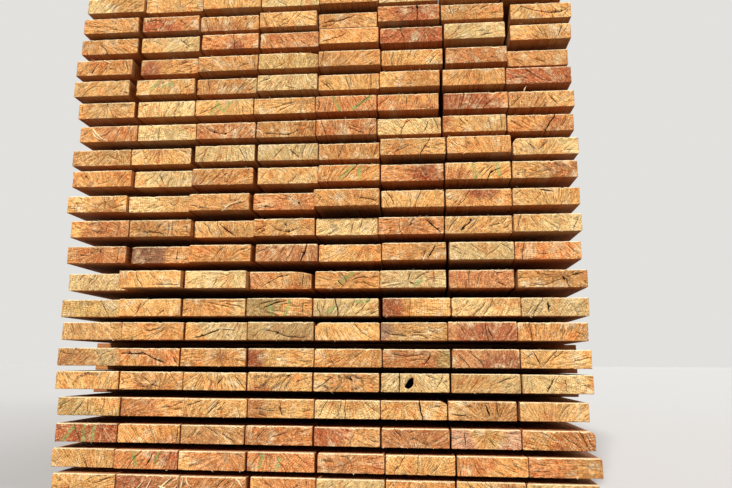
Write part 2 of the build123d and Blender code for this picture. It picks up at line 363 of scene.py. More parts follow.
    (20, 1): Look(sap=RUSSET, slivers=(Sliver((0.3, 0.2), (0.46, 0.9)),
                                       Sliver((0.44, 0.1), (0.58, 0.95), 0.003),
                                       Sliver((0.7, 0.3), (0.9, 0.98), 0.004),
                                       Sliver((0.78, 0.1), (0.99, 0.6), 0.005),
                                       Sliver((0.68, 0.45), (0.98, 0.25), 0.004))),
    (20, 2): Look(sap=RUSSET, slivers=(Sliver((0.03, 0.3), (0.06, 1.0), 0.004),
                                       Sliver((0.1, 0.95), (0.2, 0.5)), Sliver((0.7, 0.2), (0.82, 0.8)),
                                       Sliver((0.84, 0.95), (0.96, 0.4), 0.003))),
}


def sideways(line: Point) -> Point:
    """Finds the directions square to a line.

    Args:
        line: Its points, one to a row.

    Returns:
        The direction at each point, one unit long.
    """
    runs = np.gradient(line, axis=0)
    return np.stack([-runs[:, 1], runs[:, 0]], 1) / np.maximum(np.linalg.norm(runs, axis=1), 1e-9)[:, None]


@dataclass
class Crack:
    """A crack as the mesh needs it: its spine, half its width there, its depth there, its mouths."""

    spine: Point
    half_widths: Point
    depths: Point
    mouths: tuple[Rim | None, Rim | None]

    # Depth at which a crack's bottom is painted fully in shade.
    FULL_SHADE_DEPTH = 0.0035

    def at(self, points: Point) -> tuple[Point, Point]:
        """Measures the crack at some points of the end.

        Args:
            points: The points, one to a row.

        Returns:
            How deep the crack is at each point, and how much painted shade that gives it, from 0 to 1.
        """
        starts, ends = self.spine[:-1], self.spine[1:]
        runs = ends - starts
        squares = np.maximum((runs ** 2).sum(1), 1e-14)
        along = ((points[:, None] - starts) * runs).sum(2) / squares
        along = np.clip(along, 0, 1)
        nearest = starts + along[..., None] * runs
        gaps = np.linalg.norm(points[:, None] - nearest, axis=2)
        widths = self.half_widths[:-1] + along * np.diff(self.half_widths)
        depths = self.depths[:-1] + along * np.diff(self.depths)
        shares = np.clip(1 - gaps / np.maximum(widths, 1e-6), 0, 1)
        deepest = (shares * depths).max(1)
        return deepest, np.clip(deepest / self.FULL_SHADE_DEPTH, 0, 1)


@dataclass
class Patch:
    """A growing mesh: its points, its triangles and the values that the finish reads."""

    points: list[Point] = field(default_factory=list)
    triangles: list[Point] = field(default_factory=list)
    corners: list[Point] = field(default_factory=list)
    smooth: list[Point] = field(default_factory=list)
    crayon: list[Point] = field(default_factory=list)
    values: dict[str, list[Point]] = field(default_factory=dict)
    count: int = 0

    def add(self, points: Point, values: dict[str, Point]) -> int:
        """Adds points with their values.

        Args:
            points: The points, one to a row.
            values: For each value's name, one number or row for each point.

        Returns:
            The index of the first of them.
        """
        first = self.count
        self.points.append(points)
        for name, numbers in values.items():
            self.values.setdefault(name, []).append(numbers)
        self.count += len(points)
        return first

    def face(self, triangles: Point, corners: Point, smooth: Point, crayon: Point) -> None:
        """Adds triangles, with the map place of each corner, their shading and their crayon.

        Args:
            triangles: Three point indices to a row.
            corners: For each triangle, three places on the map.
            smooth: For each triangle, whether it is shaded smooth.
            crayon: For each triangle, 0 for none, 1 for green and 2 for black.
        """
        self.triangles.append(triangles)
        self.corners.append(corners)
        self.smooth.append(smooth)
        self.crayon.append(crayon)

    def make(self, name: str) -> bpy.types.Object:
        """Makes the object.

        Args:
            name: The piece's name.

        Returns:
            The new object, in the scene.
        """
        points = np.clip(np.concatenate(self.points), *np.array([list(corner) for corner in CAD_BOX]))
        triangles = np.concatenate(self.triangles)
        mesh = bpy.data.meshes.new(name)
        mesh.vertices.add(len(points))
        mesh.vertices.foreach_set("co", points.astype(np.float32).ravel())
        mesh.loops.add(triangles.size)
        mesh.loops.foreach_set("vertex_index", triangles.astype(np.int32).ravel())
        mesh.polygons.add(len(triangles))
        mesh.polygons.foreach_set("loop_start", np.arange(0, triangles.size, 3, dtype=np.int32))
        mesh.polygons.foreach_set("use_smooth", np.concatenate(self.smooth).astype(bool))
        mesh.update(calc_edges=True)
        uv_map = mesh.uv_layers.new(name="OFBake", do_init=False)
        uv_map.uv.foreach_set("vector", np.concatenate(self.corners).astype(np.float32).ravel())
        marks = mesh.attributes.new("crayon", "FLOAT", "FACE")
        marks.data.foreach_set("value", np.concatenate(self.crayon).astype(np.float32))
        for value, parts in self.values.items():
            numbers = np.concatenate(parts).astype(np.float32)
            kind = "FLOAT" if numbers.ndim == 1 else "FLOAT_VECTOR"
            attribute = mesh.attributes.new(value, kind, "POINT")
            attribute.data.foreach_set("value" if kind == "FLOAT" else "vector", numbers.ravel())
        mesh.validate(clean_customdata=False)
        piece = bpy.data.objects.new(name, mesh)
        bpy.context.scene.collection.objects.link(piece)
        return piece


RIGHTWARD, BACKWARD, UPWARD = np.eye(3)


@dataclass(frozen=True)
class Bed:
    """Where a sawn piece lies: its near lower left corner, and its across, up and along directions."""

    corner: Point
    across: Point
    up: Point
    along: Point

    def place(self, across: Point, up: Point, along: Point) -> Point:
        """The places in the stack of points given by how far across, up and along they are."""
        return (self.corner + np.multiply.outer(across, self.across) + np.multiply.outer(up, self.up)
                + np.multiply.outer(along, self.along))


@dataclass(frozen=True)
class Fineness:
    """How finely a sawn piece is meshed."""

    long_edge: int
    short_edge: int
    stations: tuple[float, ...]
    end_step: float
    slivers: bool = False


BOARD = Fineness(24, 6, (0.0012, 0.009, 0.05, 0.25, 0.9), 0.0062, True)
STICK = Fineness(6, 3, (0.0008, 0.006, 0.05, 0.2), 0.0075)


@dataclass(frozen=True)
class Atlas:
    """A piece's share of the map: its two end cells and its strip, as (low u, low v, high u, high v)."""

    near: Cell
    far: Cell
    strip: Cell


@dataclass(frozen=True)
class KnotHole:
    """The hole that a lost knot leaves: its place as shares of the end, its size, its tilt and its walls."""

    across: float = 0.42
    up: float = 0.46
    length: float = 0.027
    breadth: float = 0.015
    tilt: float = 58.0
    points: int = 18
    rings: tuple[float, ...] = (1.0, 0.9, 0.55)
    reaches: tuple[float, ...] = (0.0, 0.55, 0.9, 0.999)
    depths: tuple[float, ...] = (0.07, 0.06, 0.02, 0.0)
    # Depth at which the hole is painted fully in shade.
    full_shade_depth: float = 0.004

    def wobble(self, angles: Point) -> Point:
        """How far the rim stands out at some angles, as a share of an even oval's."""
        return 1 + 0.1 * np.sin(angles * 3 + 0.6) + 0.06 * np.sin(angles * 5 + 2)

    def spin(self) -> Point:
        """The turn that lays the section's directions along the hole's own."""
        turn = math.radians(self.tilt)
        return np.array([[math.cos(turn), -math.sin(turn)], [math.sin(turn), math.cos(turn)]])


@dataclass(frozen=True)
class Timber:
    """How boards differ by chance: the ranges and the odds of the seeded rule. Lengths are metres."""

    tones: tuple[Tone, ...] = (STRAW, HONEY, AMBER, RUSSET, BRICK)
    sap_odds: tuple[float, ...] = (0.3, 0.28, 0.25, 0.12, 0.05)
    heart_shifts: tuple[int, ...] = (-1, 0, 1, 2)
    shift_odds: tuple[float, ...] = (0.15, 0.18, 0.42, 0.25)
    sap_light: Span = (0.78, 1.12)
    heart_light: Span = (0.76, 1.08)
    heart_radius: Span = (0.02, 0.16)
    grain_shift: Span = (0.0, 40.0)
    stain_middle: float = -0.12
    stain_spread: float = 0.2
    streaks: Span = (0.45, 1.0)
    ring_spacing: Span = (0.0022, 0.0052)
    boxed_pith_odds: float = 0.22
    boxed_pith: Span = (0.15, 0.85)
    pith_across: Span = (-0.3, 1.3)
    pith_distance: Span = (0.03, 0.13)
    least_reach: float = 0.025


@dataclass(frozen=True)
class Drying:
    """How ends check as they dry: the ranges and the odds of the seeded rule. Lengths are metres."""

    near_checks: tuple[int, int] = (4, 10)
    far_checks: tuple[int, int] = (2, 7)
    across: Span = (0.04, 0.96)
    up: Span = (0.12, 0.88)
    pith_room: float = 0.004
    ring_check_odds: float = 0.18
    rarity: float = 2.2
    least_reach: float = 0.006
    more_reach: float = 0.034
    loose_reach: float = 0.008
    back_share: Span = (0.3, 1.0)
    least_half_width: float = 0.26 * MM
    more_half_width: float = 0.62 * MM
    width_spread: Span = (0.8, 1.25)
    depth_share: Span = (9.0, 16.0)
    most_depth: float = 0.03
    fewest_points: int = 4
    step: float = 0.0045
    step_spread: Span = (0.7, 1.3)
    first_lean: float = 0.12
    kept_lean: float = 0.7
    more_lean: float = 0.16
    wander: float = 0.0005
    gape: float = 1.05
    taper: float = 4.0
    taper_power: float = 0.6
    ragged: Span = (0.7, 1.0)
    mouth_share: float = 0.8
    mouth_room: float = 0.003
    corner_room: float = 0.012


@dataclass(frozen=True)
class Fibres:
    """The short fibres that stand on an end's rim, and the form of any sliver. Lengths are metres."""

    number: tuple[int, int] = (1, 6)
    top_odds: float = 0.7
    across: Span = (0.04, 0.96)
    rooted: float = 0.0014
    least_length: float = 0.002
    more_length: float = 0.009
    top_angles: Span = (0.15, 0.85)
    low_angles: Span = (-1.0, 0.0)
    flatness: float = 0.55
    width: Span = (0.0005, 0.0012)
    lift: Span = (0.0, 0.004)
    placed_lift: Span = (0.001, 0.004)
    shares: tuple[float, ...] = (0.0, 0.35, 0.7, 1.0)
    sizes: tuple[float, ...] = (0.7, 1.0, 0.6, 0.05)
    sunk: float = 0.0006
    rise: float = 0.0014
    ridge: float = 0.45
    belly: float = 0.3
    wear: float = 1.4


KNOT = KnotHole()
TIMBER = Timber()
DRYING = Drying()
FIBRES = Fibres()


@dataclass
class Cracking:
    """Lays the cracks of a piece's ends, and keeps room on its long edges for their mouths."""

    width: float
    thickness: float
    pith: Point
    look: Look
    chance: np.random.Generator
    margin: float = 0.0022
    mouths: list[tuple[Rim, float, float]] = field(default_factory=list)

    def heading(self, at: Point, check: Check) -> Point:
        """Works out which way a check runs.

        Args:
            at: A point of the end.
            check: How the check runs.

        Returns:
            Its direction there.
        """
        spoke = at - self.pith
        spoke = spoke / max(float(np.linalg.norm(spoke)), 1e-4)
        return spoke if check is Check.ACROSS_RINGS else np.array([-spoke[1], spoke[0]])

    def inside(self, point: Point) -> bool:
        """Whether a point is well inside the end's outline."""
        return bool(self.margin < point[0] < self.width - self.margin
                    and self.margin < point[1] < self.thickness - self.margin)

    def march(self, start: Point, check: Check, way: int, reach: float) -> tuple[list[Point], Rim | None]:
        """Follows a check from a point until it fades or leaves the end.

        Args:
            start: Where it begins.
            check: How it runs.
            way: 1 to follow its heading, -1 to run against it.
            reach: How far it may go.

        Returns:
            The points after the start, and the long edge that it reached, if it did.
        """
        points, point, done = [], start, 0.0
        lean = self.chance.normal(0, DRYING.first_lean)
        while done < reach:
            lean = DRYING.kept_lean * lean + self.chance.normal(0, DRYING.more_lean)
            ahead = self.heading(point, check) * way
            ahead = np.array([ahead[0] - lean * ahead[1], ahead[1] + lean * ahead[0]])
            step = DRYING.step * self.chance.uniform(*DRYING.step_spread)
            point = point + ahead * step
            done += step
            if not self.inside(point):
                if point[1] <= self.margin:
                    return points, Rim.BOTTOM
                if point[1] >= self.thickness - self.margin:
                    return points, Rim.TOP
                return points, None
            points.append(point)
        return points, None

    def take_mouth(self, rim: Rim | None, across: float, half_width: float) -> bool:
        """Keeps room on a long edge for a crack's mouth.

        Args:
            rim: The edge, or None.
            across: How far across the end the mouth is.
            half_width: Half the mouth's width.

        Returns:
            Whether there was room.
        """
        clear = DRYING.corner_room + (self.look.wane.across if self.look.wane else 0.0)
        if rim is None or not clear < across < self.width - clear:
            return False
        for other_rim, other_across, other_half in self.mouths:
            if other_rim is rim and abs(other_across - across) < half_width + other_half + DRYING.mouth_room:
                return False
        self.mouths.append((rim, across, half_width))
        return True

    def crack(self, spine: list[Point], rims: tuple[Rim | None, Rim | None], half_width: float,
              depth: float) -> Crack | None:
        """Gives a crack its width and depth along its spine.

        Args:
            spine: Its points.
            rims: The long edges that its two ends reach.
            half_width: Half its greatest width.
            depth: Its greatest depth.

        Returns:
            The crack, or None if it came out too short.
        """
        if len(spine) < DRYING.fewest_points:
            return None
        points = np.array(spine)
        mouths: list[Rim | None] = []
        for index, rim in zip((0, -1), rims):
            opens = self.take_mouth(rim, float(points[index][0]), half_width * DRYING.mouth_share)
            mouths.append(rim if opens else None)
        runs = np.linalg.norm(np.diff(points, axis=0), axis=1)
        share = np.concatenate([[0], np.cumsum(runs)]) / runs.sum()
        profile = np.ones(len(points))
        for mouth, way_in in zip(mouths, (share, 1 - share)):
            if mouth is None:
                profile *= np.clip(way_in * DRYING.taper, 0, 1) ** DRYING.taper_power
        profile *= self.chance.uniform(*DRYING.ragged, len(points))
        for index, mouth in zip((0, -1), mouths):
            if mouth is not None:
                profile[index] = DRYING.mouth_share
        return Crack(points, half_width * profile, depth * np.sqrt(profile), (mouths[0], mouths[1]))

    def seeded(self, number: int, placed: list[Crack]) -> list[Crack]:
        """Scatters drying checks over an end.

        Args:
            number: How many to try.
            placed: The cracks that the end has already.

        Returns:
            Those that found room.
        """
        chance, cracks = self.chance, list(placed)
        for _ in range(number):
            start = np.array([chance.uniform(*DRYING.across) * self.width,
                              chance.uniform(*DRYING.up) * self.thickness])
            if np.linalg.norm(start - self.pith) < DRYING.pith_room or self.is_near(start, cracks):
                continue
            check = Check.ALONG_RINGS if chance.random() < DRYING.ring_check_odds else Check.ACROSS_RINGS
            size = chance.random() ** DRYING.rarity
            reach = DRYING.least_reach + DRYING.more_reach * size + DRYING.loose_reach * chance.random()
            before, first = self.march(start, check, -1, reach * chance.uniform(*DRYING.back_share))
            after, last = self.march(start, check, 1, reach)
            spine = [*before[::-1], start, *after]
            if any(self.is_near(point, cracks) for point in spine):
                continue
            half_width = DRYING.least_half_width + DRYING.more_half_width * size
            half_width *= chance.uniform(*DRYING.width_spread)
            depth = half_width * chance.uniform(*DRYING.depth_share)
            found = self.crack(spine, (first, last), half_width, depth)
            if found:
                cracks.append(found)
        return cracks[len(placed):]

    @staticmethod
    def is_near(point: Point, cracks: list[Crack], room: float = 0.0035) -> bool:
        """Whether a point is so close to a crack that a new one would run into it."""
        return any(np.linalg.norm(crack.spine - point, axis=1).min() < room for crack in cracks)

    def placed(self) -> list[Crack]:
        """Lays the splits that the board's look gives it.

        Returns:
            The splits, as cracks.
        """
        cracks = []
        for split in self.look.splits:
            marks = np.array(split.through) * (self.width, self.thickness)
            spine: list[Point] = []
            for start, end in zip(marks[:-1], marks[1:]):
                count = max(2, round(float(np.linalg.norm(end - start)) / DRYING.step))
                for share in np.arange(count) / count:
                    spine.append(start + share * (end - start) + self.chance.normal(0, DRYING.wander, 2))
            spine.append(marks[-1])
            kept = [point for point in spine if self.inside(point)]
            rims = (self.rim_of(split.through[0][1]), self.rim_of(split.through[-1][1]))
            depth = min(split.depth, DRYING.most_depth)
            found = self.crack(kept, rims, split.width / 2 * DRYING.gape, depth)
            if found:
                cracks.append(found)
        return cracks

    @staticmethod
    def rim_of(height_share: float) -> Rim | None:
        """Finds the long edge that a point lies on.

        Args:
            height_share: How high the point is, as a share of the end's height.

        Returns:
            The edge, or None if it lies on neither.
        """
        if height_share <= 0:
            return Rim.BOTTOM
        return Rim.TOP if height_share >= 1 else None


@dataclass
class CutEnd:
    """One cut end of a piece, with its cracks, its knot hole and its crayon lines. Lengths are metres."""

    piece: SawnPiece
    rim: Point
    first: int
    cracks: list[Crack]
    is_near: bool
    ripple: float = 0.00022
    rim_room: float = 0.0012
    inner_ring: float = 0.0014
    crack_room: float = 0.0016
    hole_room: float = 1.12
    jitter: float = 0.3
    stroke_room: float = 0.0022
    stroke_step: float = 0.006
    stroke_span: Span = (0.09, 0.91)
    smooth_below: float = 0.02
    points: list[Point] = field(default_factory=list)
    edges: list[tuple[int, int]] = field(default_factory=list)

    def __post_init__(self) -> None:
        """Reads the end's size, and what marks it alone has."""
        look = self.piece.look
        self.size = np.array([self.piece.width, self.piece.thickness])
        self.strokes = look.strokes if self.is_near else ()
        self.has_hole = self.is_near and look.knot_hole

    def add_to(self, patch: Patch) -> None:
        """Adds the end to a mesh.

        Args:
            patch: The mesh.
        """
        piece, ring_size = self.piece, len(self.rim)
        self.lay_points()
        flat, _, faces, sources, _, _ = delaunay_2d_cdt(
            [Vector((x / MM, y / MM)) for x, y in self.points], self.edges, [list(range(ring_size))], 1, 1e-4)
        section = np.array([(v.x * MM, v.y * MM) for v in flat])
        triangles = np.array(faces)
        depth, share = self.depths(section)
        ripple = np.abs(piece.chance.normal(0, self.ripple, len(section)))
        ripple[share > 0] = 0
        along = depth + ripple
        along = along if self.is_near else piece.length - along
        is_rim = np.array([bool(source) and source[0] < ring_size for source in sources])
        new = np.flatnonzero(~is_rim)
        index = np.zeros(len(section), int)
        index[is_rim] = [self.first + source[0] for source in sources if source and source[0] < ring_size]
        places = piece.bed.place(section[new, 0], section[new, 1], along[new])
        # The last value is the painted shade in the cracks and the knot hole.
        values = piece.values(section[new], along[new], np.ones(len(new)), np.zeros(len(new)), share[new])
        index[new] = patch.add(places, values) + np.arange(len(new))
        cell = np.array(piece.atlas.near if self.is_near else piece.atlas.far)
        map_places = cell[:2] + section / self.size * (cell[2:] - cell[:2])
        crayon = self.crayon_at(section[triangles].mean(1))
        smooth = (share[triangles] < self.smooth_below).all(1) & ~is_rim[triangles].any(1)
        if not self.is_near:
            triangles = triangles[:, ::-1]
        patch.face(index[triangles], map_places[triangles], smooth, crayon)

    def depths(self, section: Point) -> tuple[Point, Point]:
        """Works out how deep the end is cut at some points.

        Args:
            section: The points.

        Returns:
            The depth at each point, and how much painted shade that gives it, from 0 to 1.
        """
        depth, share = np.zeros(len(section)), np.zeros(len(section))
        for crack in self.cracks:
            deeper, painted_shade = crack.at(section)
            depth, share = np.maximum(depth, deeper), np.maximum(share, painted_shade)
        if self.has_hole:
            hollow = self.knot_depth(section)
            painted_shade = np.clip(hollow / KNOT.full_shade_depth, 0, 1)
            depth, share = np.maximum(depth, hollow), np.maximum(share, painted_shade)
        return depth, share

    def lay_points(self) -> None:
        """Settles the points and the fixed edges that the end's triangles are made from, the rim first."""
        step = self.piece.fineness.end_step
        inner = self.rim + np.sign(self.size / 2 - self.rim) * self.inner_ring
        across = np.arange(step * 0.8, self.size[0] - step * 0.5, step)
        up = np.arange(step * 0.7, self.size[1] - step * 0.4, step)
        grid = np.stack(np.meshgrid(across, up), -1).reshape(-1, 2)
        grid = grid + self.piece.chance.uniform(-self.jitter, self.jitter, grid.shape) * step
        loose = np.concatenate([inner, grid])
        keep = ((loose > self.rim_room) & (loose < self.size - self.rim_room)).all(1)
        for crack in self.cracks:
            gaps = np.linalg.norm(loose[:, None] - crack.spine[None], axis=2)
            keep &= (gaps - crack.half_widths[None]).min(1) > self.crack_room
        self.points += [*self.rim]
        if self.has_hole:
            keep &= self.knot_depth(loose, self.hole_room) <= 0
            for share in KNOT.rings:
                self.add_loop(self.knot_ring(share))
        self.points += [*loose[keep]]
        for crack in self.cracks:
            self.add_crack(crack)
        for stroke in self.strokes:
            self.add_stroke(stroke)

    def add_loop(self, loop: Point) -> None:
        """Adds a closed line to the points and the fixed edges.

        Args:
            loop: Its points, one to a row.
        """
        first = len(self.points)
        self.points += [*loop]
        self.edges += [(first + at, first + (at + 1) % len(loop)) for at in range(len(loop))]

    def add_crack(self, crack: Crack) -> None:
        """Adds a crack's spine and its two borders, joined to the rim at its mouths.

        Args:
            crack: The crack.
        """
        normals = sideways(crack.spine)
        ends = ((0, crack.mouths[0]), (len(crack.spine) - 1, crack.mouths[1]))
        tips = [at for at, mouth in ends if mouth is None]
        chains: list[list[int]] = []
        for side in (-1, 0, 1):
            chain = []
            for at, place in enumerate(crack.spine):
                chain.append(-1 if side and at in tips else len(self.points))
                if chain[-1] >= 0:
                    self.points.append(place + normals[at] * side * crack.half_widths[at])
            chains.append(chain)
        left, spine, right = chains
        for chain in chains:
            for tip in tips:
                chain[tip] = spine[tip]
            self.edges += list(zip(chain[:-1], chain[1:]))
        middles = [at for at, number in enumerate(self.piece.ring_mouths) if number >= 0]
        for at, mouth in zip((0, -1), crack.mouths):
            if mouth is None:
                continue
            tip = crack.spine[at]
            middle = min(middles, key=lambda i: float(np.linalg.norm(self.rim[i] - tip)))
            sides = [middle + 1, middle - 1]
            sides.sort(key=lambda i: float(np.linalg.norm(self.rim[i] - self.points[left[at]])))
            self.edges += [(sides[0], left[at]), (middle, spine[at]), (sides[1], right[at])]

    def stroke_line(self, stroke: Stroke) -> Point:
        """Draws the middle of a crayon line.

        Args:
            stroke: The line.

        Returns:
            Points along it, a step apart.
        """
        marks = np.clip(np.array(stroke.through), *self.stroke_span) * self.size
        line = [marks[0]]
        for start, end in zip(marks[:-1], marks[1:]):
            count = max(1, round(float(np.linalg.norm(end - start)) / self.stroke_step))
            line += [start + (end - start) * step / count for step in range(1, count + 1)]
        return np.array(line)

    def add_stroke(self, stroke: Stroke) -> None:
        """Adds the outline of a crayon line.

        Args:
            stroke: The line.
        """
        line = self.stroke_line(stroke)
        side = sideways(line) * stroke.width / 2
        outline = np.concatenate([line + side, (line - side)[::-1]])
        self.add_loop(np.clip(outline, self.stroke_room, self.size - self.stroke_room))

    def crayon_at(self, centres: Point) -> Point:
        """Tells which triangles a crayon line covers.

        Args:
            centres: The triangles' centres.

        Returns:
            0 for none, 1 for green and 2 for black.
        """
        found = np.zeros(len(centres))
        for stroke in self.strokes:
            marks = self.stroke_line(stroke)
            ones = np.ones(len(marks))
            line = Crack(marks, ones * stroke.width / 2, ones, (None, None))
            found[line.at(centres)[0] > 0] = 1 if stroke.green else 2
        return found

    def knot_ring(self, share: float) -> Point:
        """Draws the rim of the knot hole, or a ring inside it.

        Args:
            share: The ring's size, as a share of the rim's.

        Returns:
            Its points in the section.
        """
        angles = np.arange(KNOT.points) / KNOT.points * 2 * math.pi
        local = np.stack([np.cos(angles) * KNOT.length / 2, np.sin(angles) * KNOT.breadth / 2], 1)
        local = local * (KNOT.wobble(angles) * share)[:, None]
        return local @ KNOT.spin().T + (KNOT.across, KNOT.up) * self.size

    def knot_depth(self, section: Point, grow: float = 1.0) -> Point:
        """Works out how deep the knot hole is at some points.

        Args:
            section: The points.
            grow: How much larger than itself the hole is taken to be.

        Returns:
            Its depth at each.
        """
        local = (section - (KNOT.across, KNOT.up) * self.size) @ KNOT.spin()
        local = local / (KNOT.length / 2, KNOT.breadth / 2)
        angles = np.arctan2(local[:, 1], local[:, 0])
        reach = np.hypot(local[:, 0], local[:, 1]) / KNOT.wobble(angles) / grow
        return np.interp(reach, KNOT.reaches, KNOT.depths)


@dataclass
class SawnPiece:
    """A board or a stick: a sawn section drawn out along its length, with worn and checked ends.

    Its size is its width, thickness and length. Steps and depths are metres.
    """

    bed: Bed
    size: Triple
    look: Look
    fineness: Fineness
    atlas: Atlas
    chance: np.random.Generator
    least_rounding: float = 0.0012
    most_rounding: float = 0.0042
    rounding_share: Span = (-0.2, 1.0)
    corner_steps: int = 2
    wane_steps: int = 3
    bulge_share: float = 0.2
    most_bulge: float = 0.0011
    inset: float = 0.0009
    roughness: tuple[float, ...] = (0.00035, 0.00028, 0.0002, 0.00015)
    chip_chance: float = 0.06
    chip_size: Span = (0.3, 1.0)
    chip_depth: float = 0.0028
    chip_fade: float = 0.45
    chip_setback: float = 0.0012
    setback: float = 0.0003
    mouth_room: float = 0.0015
    mouth_dips: tuple[float, ...] = (1.8, 1.4, 0.7)
    mouth_setbacks: tuple[float, ...] = (4.0, 4.5, 0.0)
    # Painted shade in the crack mouths on the long faces, for the first three sections.
    mouth_painted_shades: tuple[float, ...] = (1.0, 0.9, 0.4)
    # Paleness of each edge's wear: bottom, right, top, left, corners; the top's full 1.0 is also a painted
    # highlight.
    edge_wear_and_highlight: tuple[float, ...] = (0.3, 0.3, 1.0, 0.3, 0.5)
    edge_fade: Span = (1.0, 0.8)
    # A painted highlight on the top face just behind each end.
    top_painted_highlight: float = 0.45

    def __post_init__(self) -> None:
        """Settles where in the log the piece was sawn."""
        self.width, self.thickness, self.length = self.size
        self.choose_log()
        self.cracking = Cracking(self.width, self.thickness, self.pith, self.look, self.chance)

    def choose_pith(self) -> Point:
        """Settles where the middle of the log was.

        Returns:
            Its place in the section, which may lie outside the piece.
        """
        chance, size = self.chance, np.array([self.width, self.thickness])
        if self.look.pith:
            return np.array(self.look.pith) * size
        if chance.random() < TIMBER.boxed_pith_odds:
            return np.array([chance.uniform(*TIMBER.boxed_pith), chance.uniform(0, 1)]) * size
        side = chance.choice([-1, 1])
        across = chance.uniform(*TIMBER.pith_across) * self.width
        return np.array([across, self.thickness / 2 + side * chance.uniform(*TIMBER.pith_distance)])

    def choose_log(self) -> None:
        """Settles where in the log the piece was sawn, its colours and how far its corners are worn."""
        chance, look, tones = self.chance, self.look, TIMBER.tones
        self.pith = self.choose_pith()
        sap = look.sap or tones[chance.choice(len(tones), p=TIMBER.sap_odds)]
        heart = look.heart
        if heart is None:
            rank = tones.index(sap) if sap in tones else 1
            rank += chance.choice(TIMBER.heart_shifts, p=TIMBER.shift_odds)
            heart = tones[int(np.clip(rank, 0, len(tones) - 1))]
        self.sap = np.array(sap.linear[:3]) * chance.uniform(*TIMBER.sap_light)
        self.heart = np.array(heart.linear[:3]) * chance.uniform(*TIMBER.heart_light)
        self.heart_radius = look.heart_radius or chance.uniform(*TIMBER.heart_radius)
        self.offset = chance.uniform(*TIMBER.grain_shift)
        self.stain = look.stain or max(0.0, chance.normal(TIMBER.stain_middle, TIMBER.stain_spread))
        self.streaks = chance.uniform(*TIMBER.streaks)
        middle = np.array([self.width, self.thickness]) / 2
        self.reach = max(TIMBER.least_reach, float(np.linalg.norm(middle - self.pith)))
        self.ring_spacing = chance.uniform(*TIMBER.ring_spacing)
        self.roundings = [max(self.least_rounding, chance.uniform(*self.rounding_share) * self.most_rounding)
                          for _ in range(4)]
        self.first_ring = chance.uniform(-1, 1)

    def edge_shares(self, rim: Rim | None, count: int) -> tuple[list[float], list[int]]:
        """Where the ring's points lie along one edge of the section.

        Args:
            rim: The edge if it is a long one, which may have mouths.
            count: How many even steps it has.

        Returns:
            The shares along the edge, and for each the number of the mouth in its middle, or -1.
        """
        shares = {round(float(s), 6): -1 for s in np.linspace(0, 1, count + 1)}
        low_right, high_right, high_left, low_left = self.corner_cuts(0)
        low, high = (high_left, high_right) if rim is Rim.TOP else (low_left, low_right)
        low, high = low[0], self.width - high[0]
        span = high - low
        for number, (mouth_rim, across, half_width) in enumerate(self.cracking.mouths):
            if mouth_rim is not rim:
                continue
            centre = (across - low) / span
            reach = half_width / span
            room = reach + self.mouth_room / span
            for share in [s for s in shares if 0 < s < 1 and abs(s - centre) < room and shares[s] < 0]:
                del shares[share]
            shares[round(centre - reach, 6)] = -2
            shares[round(centre, 6)] = number
            shares[round(centre + reach, 6)] = -2
        ordered = sorted(shares)
        return ordered, [shares[s] for s in ordered]

    def lay_ring(self) -> None:
        """Settles the points of the ring that every section of the piece has."""
        count, short = self.fineness.long_edge, self.fineness.short_edge
        bottom, bottom_mouths = self.edge_shares(Rim.BOTTOM, count)
        top, top_mouths = self.edge_shares(Rim.TOP, count)
        side = [float(s) for s in np.linspace(0, 1, short + 1)]
        self.edges = [bottom, side, [1 - s for s in reversed(top)], side]
        mouths = [bottom_mouths, [-1] * len(side), list(reversed(top_mouths)), [-1] * len(side)]
        self.ring_mouths: list[int] = []
        self.ring_edges: list[int] = []
        for edge, numbers in enumerate(mouths):
            extra = self.corner_points(edge)
            self.ring_mouths += numbers + [-1] * extra
            self.ring_edges += [edge] * len(numbers) + [4] * extra

    def corner_wane(self, edge: int) -> Wane | None:
        """Finds the wane at the corner after an edge.

        Args:
            edge: The edge's number: bottom, right, top and left.

        Returns:
            The wane, or None if that corner has none.
        """
        wane = self.look.wane
        if wane and ((edge == 1 and wane.side == RIGHT) or (edge == 2 and wane.side == LEFT)):
            return wane
        return None

    def corner_points(self, edge: int) -> int:
        """How many points round the corner after an edge."""
        return self.wane_steps if self.corner_wane(edge) else self.corner_steps

    def corner_cuts(self, along: float) -> list[Span]:
        """Works out how far each corner is rounded off.

        Args:
            along: How far along the piece.

        Returns:
            For the corner after each edge, how far across and how far down.
        """
        cuts = []
        for edge, rounding in enumerate(self.roundings):
            wane = self.corner_wane(edge)
            left = max(0.0, 1 - along / wane.run) if wane else 0.0
            across, down = (wane.across * left, wane.down * left) if wane else (0.0, 0.0)
            cuts.append((max(rounding, across), max(rounding, down)))
        return cuts

    def ring(self, along: float, inward: Point) -> Point:
        """The ring of one section.

        Args:
            along: How far along the piece the section is.
            inward: How far each point lies inside the sawn surface.

        Returns:
            The points, counter-clockwise from the lower left corner.
        """
        width, thickness = self.width, self.thickness
        low_right, high_right, high_left, low_left = self.corner_cuts(along)
        ends = [
            ((low_left[0], 0), (width - low_right[0], 0)),
            ((width, low_right[1]), (width, thickness - high_right[1])),
            ((width - high_right[0], thickness), (high_left[0], thickness)),
            ((0, thickness - high_left[1]), (0, low_left[1])),
        ]
        normals = np.array([(0, 1), (-1, 0), (0, -1), (1, 0)], float)
        points, facing = [], []
        for edge, (start, end) in enumerate(ends):
            start, end = np.array(start), np.array(end)
            for share in self.edges[edge]:
                points.append(start + share * (end - start))
                facing.append(normals[edge])
            after = np.array(ends[(edge + 1) % 4][0])
            diagonal = normals[edge] + normals[(edge + 1) % 4]
            bulge = -diagonal * min(self.most_bulge, self.bulge_share * np.abs(after - end).min())
            count = self.corner_points(edge)
            for step in range(1, count + 1):
                share = step / (count + 1)
                points.append(end + share * (after - end) + bulge * math.sin(math.pi * share))
                facing.append(diagonal)
        return np.array(points) + np.array(facing) * inward[:, None]

